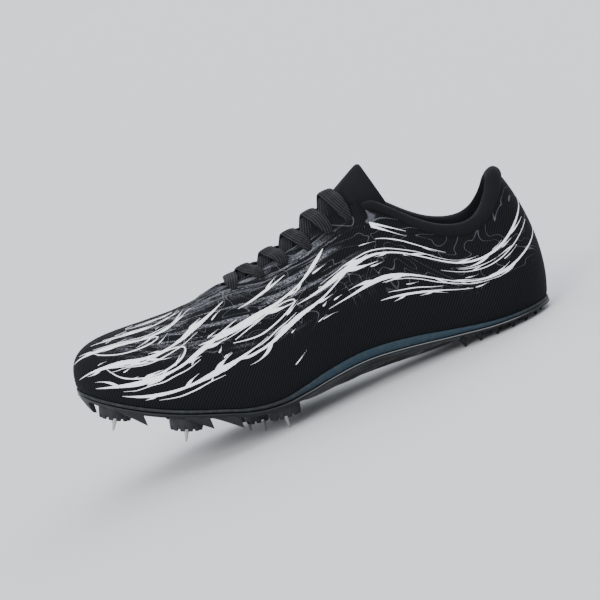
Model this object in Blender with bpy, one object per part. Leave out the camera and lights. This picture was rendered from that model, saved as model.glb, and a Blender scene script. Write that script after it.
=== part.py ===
# A left track spike shoe, standing empty on its heel teeth and ball spikes.
# Metres, +Z up, toe towards -X, lateral side towards -Y.

import math

import bmesh
import bpy
from mathutils import Matrix, Vector

# Driving sizes of the last and the shoe.
shoe_length = 0.267          # heel back to toe tip
ball_width = 0.090           # both halves of the feather line at the ball
heel_width = 0.057           # feather line at the heel
toe_height = 0.061           # feather line at the toe tip, over the ground
instep_height = 0.0835       # top of the vamp at the throat, over the ground
collar_height = 0.0825       # top of the heel tab, over the ground
heel_overhang = 0.007        # how far the heel swells past its feather line
toe_shift = 0.006            # toe tip towards the medial side
ridge_shift = 0.6            # share of that shift which the ridge's front end follows

# Where the stretches of the shoe meet, as shares of its length from the heel back.
heel_turn_share = 0.17
toe_turn_share = 0.73
collar_front_share = 0.322
throat_front_share = 0.652
ridge_end_share = 0.869

# Walls, layers and clearances.
upper_wall = 0.0016
gap = 0.0003
lining_gap = 0.0007
facing_step = 0.0005         # raised facing round the throat
facing_width = 0.011
throat_nose = 0.009          # length of the round front end of the throat
heel_tab_half = 0.0257       # half width of the collar opening over the heel
collar_roll = 0.0052         # height of the padded roll
collar_pad = 0.0038          # thickness of the roll's inner side
collar_proud = 0.0010        # how far the roll stands out of the upper
collar_ends = (0.62, 0.85, 1.0)  # size of the roll's sections, from its end inwards
collar_to_instep = 1.012     # collar height at its front, as a share of the instep's
lining_depth = 0.020
tongue_thickness = 0.0042
tongue_edge = 0.0018
tongue_dip = 0.0006          # tongue's crown below the last's ridge, between the facings
tongue_sweep = 0.005         # how far its corners lie behind its tip
tongue_tip_share = 0.281
tongue_split_share = 0.348   # where the tongue leaves the facings
tongue_front_share = 0.705
tongue_stations = 12
tongue_side_points = 5
tongue_root = 0.5             # how far up the last's side its edges lie, from 0 to 1
tongue_tip_half = 0.0126      # half width of its free end
tongue_tip_drop = 0.0250      # from the free end's crown to its corners
tongue_tip_turn = 80.0        # half of the arc that its free end follows, in degrees
tongue_ease = 2.5            # how early it takes that arc, 1 for evenly
tongue_reach = 0.9           # how far up the last's side its edge points go at most
insole_thickness = 0.0030
insole_inset = 0.0030        # from the feather line to the insole's edge
midsole_swell = 0.0002       # midsole's side past the feather line
plate_lip = 0.0009           # plate's edge past the midsole's side
rib_height = 0.0013

# Laces and their holes.
lace_width = 0.0074
lace_thickness = 0.0013
lace_lift = 0.0022           # how far a crossing rides over the tongue's crown
lace_layer = 0.0002          # from one strip's level to the next
lace_clear = 0.0010          # under the strips, over the facings' curve
hole_radius = 0.0019
hole_inset = 0.0062          # from the throat's edge to a hole's centre
hole_shares = (0.616, 0.556, 0.500, 0.445, 0.393, 0.347)

# Spike wells, spikes and teeth.
well_share = 0.1055          # well's radius as a share of the ball width
well_radius = ball_width * well_share
well_height = 0.0062
well_seat = 0.0014           # depth of a well's pocket in the plate
well_teeth = 8
well_tooth_height = 0.0012
well_taper = 0.93            # rim's radius as a share of the well's
well_rim = 0.76              # the rim's inner radius, likewise
well_dish = 0.0019           # how far its middle lies below the rim's teeth
bore_depth = 0.0049          # of the threaded bore, below the rim's teeth
pin_height = 0.0070
pin_radius = 0.0016
pin_tip_radius = 0.0005
pin_waist = 0.62             # radius half way down the pin, as a share of its root's
washer_radius = 0.0027
washer_height = 0.0008
thread_radius = 0.0019
thread_length = 0.0027
heel_tooth_height = 0.0052
heel_tooth_width = 0.0042
tooth_flat = 0.0006
saw_height = 0.0060
saw_length = 0.0130
saw_thickness = 0.0036
saw_tip_share = 0.55         # thickness of a saw tooth's tip as a share of its root's
tooth_root = 0.0012          # how far a tooth runs into the plate

heel_rays = 7                # rays round each quarter of the heel
toe_rays = 7
collar_rays = 6
facing_rays = 9
nose_rays = 4
vamp_rays = 3
side_levels = 8              # rows of points from the feather line to the facing
facing_ease = 0.012          # width of the step up to the facing, along a ray
ray_start = 0.3              # no throat is cut below this share of a ray
search_rounds = 24
slope_step = 0.004           # share of the length over which the ridge's slope is read
walk_step = 0.01             # step along a ray
layer_rings = (0.0, 0.6, 1.0)  # rings of the sole's flat layers, from spine to feather line
diagonal_lean = 0.05         # small bias that settles which way a quad is split
strip_steps = 6              # stations along one strip of lace

# Feather line. share: of the length from the heel back. lateral, medial: half widths as
# shares of the ball width. rise: height as a share of the toe's height. skew: how far the
# flex line runs forward for each length towards the medial side.
outline_columns = ("share", "lateral", "medial", "rise", "skew")
outline_table = (
    (0.03, 0.317, 0.317, 0.106, 0.00),
    (0.10, 0.317, 0.317, 0.121, 0.00),
    (0.17, 0.317, 0.312, 0.160, 0.00),
    (0.24, 0.317, 0.298, 0.224, 0.00),
    (0.32, 0.328, 0.280, 0.306, 0.00),
    (0.42, 0.361, 0.300, 0.368, 0.03),
    (0.52, 0.444, 0.372, 0.358, 0.15),
    (0.60, 0.500, 0.430, 0.320, 0.28),
    (0.66, 0.524, 0.462, 0.300, 0.30),
    (0.73, 0.530, 0.474, 0.345, 0.28),
    (0.79, 0.520, 0.468, 0.452, 0.22),
    (0.84, 0.470, 0.440, 0.560, 0.16),
    (0.89, 0.380, 0.370, 0.690, 0.10),
    (0.94, 0.260, 0.260, 0.830, 0.05),
    (1.00, 0.010, 0.010, 1.000, 0.00),
)

# Collar line, where the padded roll sits. rise: shares of the heel tab's height. half: half
# width as a share of the heel width. lean: slope of the wall there, in degrees from flat.
# reach: how long that slope holds, as a share of the distance down to the feather line.
collar_columns = ("share", "rise", "half", "lean", "reach")
collar_table = (
    (0.022, 0.945, 0.42, 72.0, 0.26),
    (0.030, 0.915, 0.42, 73.0, 0.26),
    (0.045, 0.850, 0.42, 75.0, 0.27),
    (0.064, 0.790, 0.42, 77.0, 0.27),
    (0.086, 0.740, 0.42, 79.0, 0.28),
    (0.120, 0.706, 0.43, 82.0, 0.29),
    (0.157, 0.722, 0.45, 84.0, 0.30),
    (0.191, 0.775, 0.45, 83.0, 0.30),
    (0.221, 0.855, 0.43, 79.0, 0.30),
    (0.262, 0.995, 0.385, 71.0, 0.30),
    (0.292, 1.090, 0.355, 66.0, 0.30),
    (0.322, 1.136, 0.33, 62.0, 0.30),
)

# Ridge of the last from the tongue's tip to the toe. rise: shares of the instep's height.
# half: half width of the throat as a share of the heel width. reach: how long the flat top
# of each arch holds, as a share of the distance down to the feather line.
ridge_columns = ("share", "rise", "half", "reach")
ridge_table = (
    (0.281, 1.388, 0.35, 0.26),
    (0.322, 1.323, 0.33, 0.26),
    (0.348, 1.281, 0.305, 0.26),
    (0.397, 1.204, 0.275, 0.27),
    (0.450, 1.126, 0.25, 0.27),
    (0.500, 1.075, 0.225, 0.28),
    (0.550, 1.030, 0.20, 0.28),
    (0.590, 1.008, 0.18, 0.29),
    (0.652, 0.992, 0.15, 0.33),
    (0.700, 0.968, 0.15, 0.38),
    (0.740, 0.960, 0.15, 0.45),
    (0.790, 0.964, 0.15, 0.52),
    (0.869, 0.982, 0.15, 0.60),
)

# Foot of the last's side. flare: slope at the feather line, in degrees from flat. grip: how
# long that slope holds, as a share of the distance up to the top line.
form_columns = ("share", "flare", "grip")
form_table = (
    (0.02, 114.0, 0.36),
    (0.10, 108.0, 0.35),
    (0.17, 101.0, 0.34),
    (0.24, 97.0, 0.36),
    (0.32, 95.0, 0.40),
    (0.41, 94.0, 0.43),
    (0.50, 94.0, 0.44),
    (0.60, 94.0, 0.44),
    (0.73, 94.0, 0.44),
    (0.87, 92.0, 0.42),
    (1.00, 86.0, 0.42),
)

# Sole layers below the feather line, as shares of the shoe's length. band: the midsole's
# side. edge: the plate's upright edge. depth: from the plate's top to its lowest middle.
# tuck: how far in from the edge that depth is reached. rib: share of the full rib height.
sole_columns = ("share", "band", "edge", "depth", "tuck", "rib")
sole_table = (
    (0.02, 0.0060, 0.0056, 0.0080, 0.016, 0.00),
    (0.10, 0.0064, 0.0056, 0.0086, 0.020, 0.30),
    (0.20, 0.0100, 0.0056, 0.0130, 0.030, 0.80),
    (0.32, 0.0165, 0.0056, 0.0280, 0.036, 1.00),
    (0.44, 0.0170, 0.0056, 0.0310, 0.036, 1.00),
    (0.54, 0.0140, 0.0060, 0.0220, 0.028, 0.90),
    (0.60, 0.0090, 0.0095, 0.0130, 0.014, 0.60),
    (0.66, 0.0076, 0.0105, 0.0115, 0.010, 0.45),
    (0.85, 0.0076, 0.0100, 0.0115, 0.010, 0.40),
    (1.00, 0.0076, 0.0095, 0.0110, 0.010, 0.00),
)

# Ribs across half a sole, from its spine to its edge. out: share of the half width.
# up: share of the rib height by which the face is let in there.
rib_columns = ("out", "up")
rib_table = (
    (0.00, 0.4), (0.10, 0.0), (0.20, 1.0), (0.32, 0.0), (0.43, 1.0), (0.55, 0.0), (0.67, 1.0),
    (0.80, 0.0), (0.90, 0.0),
)

# Spike wells. share: along the length. side: from the centre line to the medial side, as a
# share of the ball width. lean: forward, in degrees. stands: 1 where the pin is on the ground.
well_columns = ("share", "side", "lean", "stands")
well_table = (
    (0.620, -0.370, 5.0, 1),
    (0.668, -0.165, 6.0, 1),
    (0.697, 0.055, 8.0, 1),
    (0.703, 0.285, 5.0, 1),
    (0.808, -0.365, 24.0, 0),
    (0.824, 0.335, 22.0, 0),
    (0.936, -0.130, 31.0, 0),
    (0.940, 0.160, 31.0, 0),
)

# Pyramid teeth under the heel. share: along the length. side: as in the well table.
heel_tooth_columns = ("share", "side")
heel_tooth_table = (
    (0.052, -0.050), (0.052, 0.060), (0.068, -0.135), (0.068, 0.140), (0.092, -0.200),
    (0.088, -0.060), (0.090, 0.070), (0.096, 0.205), (0.122, -0.230), (0.118, -0.130),
    (0.122, 0.130), (0.128, 0.235), (0.158, -0.245), (0.156, -0.160), (0.160, 0.155),
    (0.166, 0.240), (0.194, -0.230), (0.196, 0.225), (0.228, -0.215), (0.232, 0.205),
)

# Saw teeth round the forefoot. share: of the tooth's steep end. side: -1 lateral, 1 medial.
saw_columns = ("share", "side")
saw_table = (
    (0.706, -1), (0.762, -1), (0.885, -1),
    (0.690, 1), (0.775, 1), (0.893, 1),
)

# Saw teeth round the toe. turn: of the steep end, in degrees from where the toe's curve starts.
toe_saw_columns = ("turn", "side")
toe_saw_table = ((70.0, -1), (66.0, 1))


def look_up(columns, table, name, share):
    """Smooth curve through one column of a table."""
    index = columns.index(name)
    xs = [row[0] for row in table]
    ys = [row[index] for row in table]
    if share <= xs[0]:
        return ys[0]
    if share >= xs[-1]:
        return ys[-1]
    k = max(i for i in range(len(xs) - 1) if xs[i] <= share)
    secants = [(ys[i + 1] - ys[i]) / (xs[i + 1] - xs[i]) for i in range(len(xs) - 1)]

    def slope(i):
        if i == 0:
            return secants[0]
        if i == len(xs) - 1:
            return secants[-1]
        before = xs[i] - xs[i - 1]
        after = xs[i + 1] - xs[i]
        return (secants[i - 1] * after + secants[i] * before) / (before + after)

    span = xs[k + 1] - xs[k]
    t = (share - xs[k]) / span
    start = (2 * t ** 3 - 3 * t ** 2 + 1) * ys[k] + (t ** 3 - 2 * t ** 2 + t) * span * slope(k)
    end = (3 * t ** 2 - 2 * t ** 3) * ys[k + 1] + (t ** 3 - t ** 2) * span * slope(k + 1)
    return start + end


def outline(name, share):
    return look_up(outline_columns, outline_table, name, share)


def collar(name, share):
    return look_up(collar_columns, collar_table, name, share)


def ridge(name, share):
    return look_up(ridge_columns, ridge_table, name, share)


def form(name, share):
    return look_up(form_columns, form_table, name, share)


def sole(name, share):
    return look_up(sole_columns, sole_table, name, share)


def feather_height(x, y):
    """Height of the feather line's surface over a point of the sole."""
    share = -x / shoe_length
    skewed = share - outline("skew", share) * y / shoe_length
    return toe_height * outline("rise", skewed)


def foot_point(share, side):
    """Point on the feather line in the middle of the shoe. side is -1 lateral, 1 medial."""
    half = ball_width * outline("lateral" if side < 0 else "medial", share)
    return Vector((-share * shoe_length, side * half, 0.0))


def make_ray(side, top_share, foot, spine, out):
    """One line of the last from the feather line up to the top line."""
    foot = Vector((foot.x, foot.y, feather_height(foot.x, foot.y)))
    return {"side": side, "top_share": top_share, "foot": foot, "spine": spine, "out": out}


def side_rays(side):
    """Rays of one side of the shoe, from the middle of the heel to the toe tip."""
    rays = []
    heel_x = -heel_turn_share * shoe_length
    heel_depth = heel_turn_share * shoe_length - heel_overhang
    heel_half = abs(foot_point(heel_turn_share, side).y)
    for k in range(heel_rays):
        turn = math.radians(90.0 * k / heel_rays)
        foot = Vector((heel_x + heel_depth * math.cos(turn), side * heel_half * math.sin(turn), 0))
        out = Vector((foot.x - heel_x, foot.y, 0)).normalized()
        top_share = heel_turn_share - (heel_turn_share - collar_table[0][0]) * math.cos(turn)
        ray = make_ray(side, top_share, foot, Vector((heel_x, 0, 0)), out)
        ray["turn"] = math.sin(turn)
        rays.append(ray)
    for share in middle_shares():
        foot = foot_point(share, side)
        out = Vector((0, side, 0))
        rays.append(make_ray(side, share, foot, Vector((foot.x, 0, 0)), out))
    for k in range(toe_rays + 1):
        rays.append(toe_ray(side, 90.0 * k / toe_rays))
    return rays


def toe_ray(side, degrees):
    """Ray round the toe, from 0 where its curve starts to 90 at the tip."""
    turn = math.radians(degrees)
    toe_x = -toe_turn_share * shoe_length
    toe_depth = (1 - toe_turn_share) * shoe_length
    toe_half = abs(foot_point(toe_turn_share, side).y)
    ridge_run = (ridge_end_share - toe_turn_share) * shoe_length
    shift = toe_shift * math.sin(turn) ** 2
    y = side * toe_half * math.cos(turn) + shift
    foot = Vector((toe_x - toe_depth * math.sin(turn), y, 0))
    along = 1 - math.cos(turn)
    spine = Vector((toe_x - ridge_run * along, toe_shift * along * ridge_shift, 0))
    out = (foot - spine).normalized()
    top_share = toe_turn_share + (ridge_end_share - toe_turn_share) * along
    return make_ray(side, top_share, foot, spine, out)


def middle_shares():
    """Shares of the length for the parallel rays between heel turn and toe turn."""
    nose = throat_nose / shoe_length
    throat_back = throat_front_share - nose
    shares = []
    for k in range(collar_rays):
        shares.append(heel_turn_share + (collar_front_share - heel_turn_share) * k / collar_rays)
    for k in range(facing_rays):
        shares.append(collar_front_share + (throat_back - collar_front_share) * k / facing_rays)
    for k in range(nose_rays):
        turn = math.radians(90.0 * k / (nose_rays - 1))
        shares.append(throat_back + nose * math.sin(turn))
    for k in range(1, vamp_rays):
        shares.append(throat_front_share + (toe_turn_share - throat_front_share) * k / vamp_rays)
    return shares


def collar_top(share):
    """Height of the collar line: it follows the heel tab behind and the instep in front."""
    forward = (share - heel_turn_share) / (collar_front_share - heel_turn_share)
    front_height = instep_height * collar_to_instep
    height = collar_height + (front_height - collar_height) * max(0.0, forward)
    return height * collar("rise", share)


def on_collar(ray):
    return "turn" in ray or ray["top_share"] < collar_front_share


def top_point(ray):
    """Upper end of a ray: the collar line, or the ridge of the last's full arch."""
    share = ray["top_share"]
    side = ray["side"]
    x = -share * shoe_length
    if "turn" in ray:
        half = heel_tab_half * ray["turn"]
        return Vector((x, side * half, collar_top(share)))
    if on_collar(ray):
        half = heel_width * collar("half", share)
        return Vector((x, side * half, collar_top(share)))
    return Vector((x, ray["spine"].y, instep_height * ridge("rise", share)))


def throat_half(share):
    """Half width of the throat, with a round nose in front."""
    half = heel_width * ridge("half", share)
    nose_back = throat_front_share - throat_nose / shoe_length
    if share > nose_back:
        along = (share - nose_back) / (throat_front_share - nose_back)
        half *= math.sqrt(max(0.0, 1 - along ** 2))
    return half


def ridge_slope(share):
    """Rise of the vamp's ridge for each length run towards the toe."""
    rise = instep_height * (ridge("rise", share) - ridge("rise", share - slope_step))
    return rise / (slope_step * shoe_length)


def ray_controls(ray):
    """The four points that shape a ray."""
    foot = ray["foot"]
    top = top_point(ray)
    out = ray["out"]
    share = ray["top_share"]
    foot_share = -foot.x / shoe_length
    span = (top - foot).length
    flare = math.radians(form("flare", foot_share))
    grip = span * form("grip", foot_share)
    low = foot - out * math.cos(flare) * grip + Vector((0, 0, math.sin(flare) * grip))
    if on_collar(ray):
        lean = math.radians(collar("lean", share))
        reach = span * collar("reach", share)
        high = top + out * math.cos(lean) * reach - Vector((0, 0, math.sin(lean) * reach))
    else:
        high = top + out * span * ridge("reach", share)
        high.z += ridge_slope(share) * (top.x - high.x)
    return foot, low, high, top


def ray_end(ray):
    """Where a ray meets the top line: 1, or less where the throat is cut out."""
    share = ray["top_share"]
    if on_collar(ray) or share >= throat_front_share - 1e-6:
        return 1.0
    points = ray_controls(ray)
    return crossing(points, throat_half(share))


def crossing(points, half):
    """Where a ray's distance from the centre line falls to a half width."""
    low, high = ray_start, 1.0
    for _ in range(search_rounds):
        middle = (low + high) / 2
        if abs(bezier(points, middle).y) > half:
            low = middle
        else:
            high = middle
    return low


def bezier(points, t):
    a, b, c, d = points
    s = 1 - t
    return a * s ** 3 + b * (3 * s * s * t) + c * (3 * s * t * t) + d * t ** 3


def ray_frame(ray, t):
    """Point, upward direction and outward normal on a ray."""
    points = ray_controls(ray)
    above = bezier(points, min(1.0, t + walk_step))
    below = bezier(points, max(0.0, t - walk_step))
    up = (above - below).normalized()
    normal = Vector((0, 0, 1)).cross(ray["out"]).cross(up).normalized()
    return bezier(points, t), up, normal


def ray_at_depth(ray, depth):
    """As ray_frame, at a distance below the top line, or above it where depth is negative."""
    t = ray_end(ray)
    place, up, normal = ray_frame(ray, t)
    if depth <= 0:
        return place - up * depth, up, normal
    points = ray_controls(ray)
    walked = 0.0
    while walked < depth and t > walk_step * 2:
        t -= walk_step
        lower = bezier(points, t)
        walked += (place - lower).length
        place = lower
    return ray_frame(ray, t)


def make_material(name, color, roughness, metallic):
    material = bpy.data.materials.new(name)
    material.use_nodes = True
    shader = material.node_tree.nodes["Principled BSDF"]
    shader.inputs["Base Color"].default_value = (*color, 1.0)
    shader.inputs["Roughness"].default_value = roughness
    shader.inputs["Metallic"].default_value = metallic
    return material


def new_object(name, mesh, material, root):
    obj = bpy.data.objects.new(name, mesh)
    bpy.context.scene.collection.objects.link(obj)
    mesh.materials.append(material)
    obj.parent = root
    return obj


def new_cutter(name, bm, root):
    """Hidden mesh that cuts or joins another piece."""
    mesh = bpy.data.meshes.new(name)
    bm.to_mesh(mesh)
    bm.free()
    obj = bpy.data.objects.new(name, mesh)
    bpy.context.scene.collection.objects.link(obj)
    obj.parent = root
    obj.hide_render = True
    obj.display_type = "WIRE"
    return obj


def combine(obj, other, operation):
    step = obj.modifiers.new(other.name, "BOOLEAN")
    step.operation = operation
    step.solver = "EXACT"
    step.object = other


def mesh_from(name, vertices, faces, merge=1e-6):
    """Mesh with its doubled points merged and its faces all turned the same way."""
    bm = bmesh.new()
    made = [bm.verts.new(v) for v in vertices]
    for face in faces:
        bm.faces.new([made[i] for i in face])
    bmesh.ops.remove_doubles(bm, verts=bm.verts, dist=merge)
    bmesh.ops.recalc_face_normals(bm, faces=bm.faces)
    mesh = bpy.data.meshes.new(name)
    bm.to_mesh(mesh)
    bm.free()
    return mesh


def smooth(mesh, angle=35.0):
    mesh.shade_smooth()
    mesh.set_sharp_from_angle(angle=math.radians(angle))


def grid_faces(rows, columns):
    """Quads of a grid whose last row joins its first."""
    faces = []
    for i in range(rows):
        for j in range(columns - 1):
            a = i * columns + j
            b = ((i + 1) % rows) * columns + j
            faces.append((a, b, b + 1, a + 1))
    return faces


def split_quads(vertices, faces):
    """Triangles whose diagonals depend on the ground plan alone, so that stacked layers match."""
    triangles = []

    def width(index):
        place = vertices[index]
        run = max(0.0, -place.x / shoe_length - toe_turn_share) / (1 - toe_turn_share)
        return abs(place.y - toe_shift * run) + diagonal_lean * place.x

    for face in faces:
        wide = max(range(4), key=lambda k: width(face[k]))
        a, b, c, d = face[wide:] + face[:wide]
        triangles += [(a, b, c), (a, c, d)]
    return triangles


def sweep(name, sections, root, material):
    """Solid through equal closed sections, capped at both ends."""
    count = len(sections[0])
    vertices = [point for section in sections for point in section]
    faces = []
    for i in range(len(sections) - 1):
        for j in range(count):
            a = i * count + j
            b = i * count + (j + 1) % count
            faces.append((a, b, b + count, a + count))
    start = (len(sections) - 1) * count
    faces.append(tuple(range(count)))
    faces.append(tuple(start + j for j in range(count))[::-1])
    mesh = mesh_from(name, vertices, faces)
    smooth(mesh, 40.0)
    return new_object(name, mesh, material, root)


def all_rays():
    """Rays round the whole shoe: lateral heel to toe, then medial toe to heel."""
    return side_rays(-1) + side_rays(1)[1:-1][::-1]


def middle_ray(share, side):
    """Ray straight across the shoe at any share of its length."""
    foot = foot_point(share, side)
    return make_ray(side, share, foot, Vector((foot.x, 0, 0)), Vector((0, side, 0)))


def build_upper(root, material):
    """Hollow shell of the upper: a sheet over the last, given its wall inwards."""
    rays = all_rays()
    vertices = []
    facing_end = throat_front_share + facing_width / shoe_length
    for ray in rays:
        end = ray_end(ray)
        points = ray_controls(ray)
        span = (points[3] - points[0]).length
        facing = end - facing_width / span
        levels = [j / (side_levels - 1) * (facing - facing_ease) for j in range(side_levels)]
        levels += [facing, (facing + end) / 2, end]
        has_facing = collar_front_share <= ray["top_share"] < facing_end
        for level, t in enumerate(levels):
            place, _, normal = ray_frame(ray, t)
            lift = facing_step if has_facing and level >= side_levels else 0.0
            vertices.append(place + normal * lift)
    mesh = mesh_from("upper", vertices, grid_faces(len(rays), side_levels + 3))
    toe = min(mesh.polygons, key=lambda face: face.center.x)
    if toe.normal.x > 0:
        mesh.flip_normals()
    smooth(mesh)
    obj = new_object("upper", mesh, material, root)
    wall = obj.modifiers.new("Wall", "SOLIDIFY")
    wall.thickness = upper_wall
    wall.offset = -1
    wall.use_even_offset = True
    combine(obj, hole_cutters(root), "DIFFERENCE")
    return obj


def hole_cutters(root):
    """Short rods through the facings at the lace holes."""
    bm = bmesh.new()
    for side in (-1, 1):
        for share in hole_shares:
            place, _, normal = ray_at_depth(middle_ray(share, side), hole_inset)
            turn = normal.to_track_quat("Z", "Y").to_matrix().to_4x4()
            bmesh.ops.create_cone(
                bm, cap_ends=True, segments=10, radius1=hole_radius, radius2=hole_radius,
                depth=upper_wall * 5, matrix=Matrix.Translation(place) @ turn)
    return new_cutter("lace_hole_cutter", bm, root)


def collar_section(ray, size):
    """Padded roll over the upper's top edge, and the lining that hangs down inside."""
    inner = -upper_wall - lining_gap
    roll = collar_roll * size
    deep = collar_pad * size
    profile = (
        (gap * 2, 0.0),
        (roll * 0.40, collar_proud),
        (roll * 0.85, 0.0),
        (roll, -upper_wall - deep * 0.35),
        (roll * 0.75, inner - deep * 0.90),
        (0.0, inner - deep),
        (-lining_depth * 0.50, inner - deep * 0.75),
        (-lining_depth, inner - deep * 0.25),
        (-lining_depth, inner),
        (-lining_depth * 0.50, inner),
        (gap * 2, inner),
    )
    section = []
    for height, offset in profile:
        place, _, normal = ray_at_depth(ray, -height)
        section.append(place + normal * offset)
    return section


def build_collar(root, material):
    kept = []
    for side in (-1, 1):
        kept.append([r for r in side_rays(side) if r["top_share"] < collar_front_share - 0.001])
    around = kept[0][::-1] + kept[1][1:]
    last = len(around) - 1
    sections = []
    for k, ray in enumerate(around):
        size = collar_ends[min(k, last - k, len(collar_ends) - 1)]
        sections.append(collar_section(ray, size))
    return sweep("collar", sections, root, material)


def half_width(x, side):
    """Half width of the feather line at a place along the shoe."""
    share = -x / shoe_length
    if share < heel_turn_share:
        run = (heel_turn_share - share) * shoe_length
        depth = heel_turn_share * shoe_length - heel_overhang
        full = abs(foot_point(heel_turn_share, side).y)
        return full * math.sqrt(max(0.0, 1 - (run / depth) ** 2))
    if share > toe_turn_share:
        run = (share - toe_turn_share) / (1 - toe_turn_share)
        full = abs(foot_point(toe_turn_share, side).y)
        half = full * math.sqrt(max(0.0, 1 - run ** 2))
        return half + side * toe_shift * min(1.0, run) ** 2
    return abs(foot_point(share, side).y)


def plate_top(x, y):
    share = -x / shoe_length
    return feather_height(x, y) - gap - sole("band", share) * shoe_length - gap


def plate_bottom(x, y, let_in=0.0):
    """Underside of the plate, raised by a share of the rib height."""
    share = -x / shoe_length
    side = -1 if y < 0 else 1
    from_edge = max(0.0, half_width(x, side) - abs(y))
    tucked = min(1.0, from_edge / (sole("tuck", share) * shoe_length))
    ease = tucked * tucked * (3 - 2 * tucked)
    edge = sole("edge", share) * shoe_length
    depth = sole("depth", share) * shoe_length
    deep = edge + (depth - edge) * ease
    return plate_top(x, y) - deep + rib_height * sole("rib", share) * let_in


def sole_rings(ray, fractions, swell):
    """Places on the ground plan from a ray's spine point out to the feather line."""
    spine = ray["spine"]
    foot = Vector((ray["foot"].x, ray["foot"].y, 0))
    places = [spine + (foot - spine) * f for f in fractions]
    places[-1] = places[-1] + ray["out"] * swell
    return places


def build_sole_layer(name, top, bottom, swell, inset, root, material):
    """Flat layer of the sole between two surfaces given as functions of the ground plan."""
    fractions = layer_rings
    rays = all_rays()
    vertices = []
    for ray in rays:
        foot_way = ray["foot"] - ray["spine"]
        foot_way.z = 0
        kept = 1 - inset / foot_way.length
        places = sole_rings(ray, [f * kept for f in fractions], swell)
        vertices += [Vector((p.x, p.y, top(p.x, p.y))) for p in places]
        vertices += [Vector((p.x, p.y, bottom(p.x, p.y))) for p in places[::-1]]
    faces = split_quads(vertices, grid_faces(len(rays), 2 * len(fractions)))
    mesh = mesh_from(name, vertices, faces)
    smooth(mesh)
    return new_object(name, mesh, material, root)


def midsole_top(x, y):
    return feather_height(x, y) - gap


def midsole_bottom(x, y):
    share = -x / shoe_length
    return feather_height(x, y) - gap - sole("band", share) * shoe_length


def insole_top(x, y):
    return feather_height(x, y) + insole_thickness


def insole_bottom(x, y):
    return feather_height(x, y) + gap * 2


def build_plate(root, material):
    """Stiff plate with ribs underneath, heel teeth, saw teeth and pockets for the wells."""
    rays = all_rays()
    rib_out = [row[0] for row in rib_table]
    rib_up = [row[1] for row in rib_table]
    vertices = []
    for ray in rays:
        places = sole_rings(ray, layer_rings, midsole_swell)
        vertices += [Vector((p.x, p.y, plate_top(p.x, p.y))) for p in places]
        lip = places[-1] + ray["out"] * plate_lip
        vertices.append(Vector((lip.x, lip.y, plate_top(lip.x, lip.y) - gap)))
        places = sole_rings(ray, rib_out + [1.0], midsole_swell + plate_lip)
        lows = [Vector((p.x, p.y, plate_bottom(p.x, p.y, up)))
                for p, up in zip(places, rib_up + [0.0])]
        vertices += lows[::-1]
    columns = len(layer_rings) + len(rib_table) + 2
    mesh = mesh_from("outsole_plate", vertices, split_quads(vertices, grid_faces(len(rays), columns)))
    smooth(mesh)
    obj = new_object("outsole_plate", mesh, material, root)
    combine(obj, heel_teeth(root), "UNION")
    combine(obj, saw_teeth(root), "UNION")
    combine(obj, pocket_cutters(root), "DIFFERENCE")
    return obj


def heel_teeth(root):
    """Small pyramids under the heel, cut off at the ground."""
    bm = bmesh.new()
    for share, side in heel_tooth_table:
        x = -share * shoe_length
        y = side * ball_width
        base = plate_bottom(x, y) + tooth_root
        tip = max(0.0, plate_bottom(x, y) - heel_tooth_height)
        height = base - tip
        half = heel_tooth_width / 2 * math.sqrt(2)
        place = Matrix.Translation((x, y, (base + tip) / 2)) @ Matrix.Rotation(math.pi / 4, 4, "Z")
        bmesh.ops.create_cone(
            bm, cap_ends=True, segments=4, radius1=tooth_flat, radius2=half,
            depth=height, matrix=place)
    return new_cutter("heel_teeth", bm, root)


def edge_spot(share, side):
    """Place on the ground plan at the plate's edge, with the way in from it."""
    x = -share * shoe_length
    return Vector((x, side * (half_width(x, side) + plate_lip / 2), 0)), Vector((0, -side, 0))


def toe_spot(degrees, side):
    """As edge_spot, at a turn round the toe."""
    ray = toe_ray(side, degrees)
    foot = Vector((ray["foot"].x, ray["foot"].y, 0))
    return foot + ray["out"] * plate_lip / 2, -ray["out"]


def saw_spots():
    """Front end and steep end of each saw tooth."""
    spots = []
    for share, side in saw_table:
        spots.append((edge_spot(share + saw_length / shoe_length, side), edge_spot(share, side)))
    for degrees, side in toe_saw_table:
        reach = math.degrees(saw_length / abs(foot_point(toe_turn_share, side).y))
        spots.append((toe_spot(degrees + reach, side), toe_spot(degrees, side)))
    return spots


def saw_corner(spot, drop):
    """Corner of a saw tooth: below the plate's edge by drop, or in the plate where that is 0."""
    low = plate_top(spot.x, spot.y) - sole("edge", -spot.x / shoe_length) * shoe_length
    return Vector((spot.x, spot.y, low - drop if drop else low + tooth_root))


def saw_teeth(root):
    """Fins round the forefoot's edge, each with its steep end towards the heel."""
    bm = bmesh.new()
    for front, back in saw_spots():
        outer = []
        inner = []
        ends = ((front, 0.0, 1.0), (back, 0.0, 1.0), (back, saw_height, saw_tip_share))
        for (spot, inward), drop, thick in ends:
            outer.append(bm.verts.new(saw_corner(spot, drop)))
            inner.append(bm.verts.new(saw_corner(spot + inward * saw_thickness * thick, drop)))
        bm.faces.new(outer)
        bm.faces.new(inner[::-1])
        for k in range(3):
            m = (k + 1) % 3
            bm.faces.new((outer[m], outer[k], inner[k], inner[m]))
    bmesh.ops.recalc_face_normals(bm, faces=bm.faces)
    return new_cutter("saw_teeth", bm, root)


def well_frames():
    """Place of each well on the plate's underside, with its axis pointing out of the sole.

    Where the pin stands on the ground, the well sits at the height that its length gives.
    """
    frames = []
    for share, side, lean, stands in well_table:
        x = -share * shoe_length
        y = side * ball_width
        tilt = math.radians(lean)
        axis = Vector((-math.sin(tilt), 0, -math.cos(tilt)))
        seat = (well_height + pin_height) * -axis.z if stands else plate_bottom(x, y)
        frames.append((Vector((x, y, seat)), axis, stands))
    return frames


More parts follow.
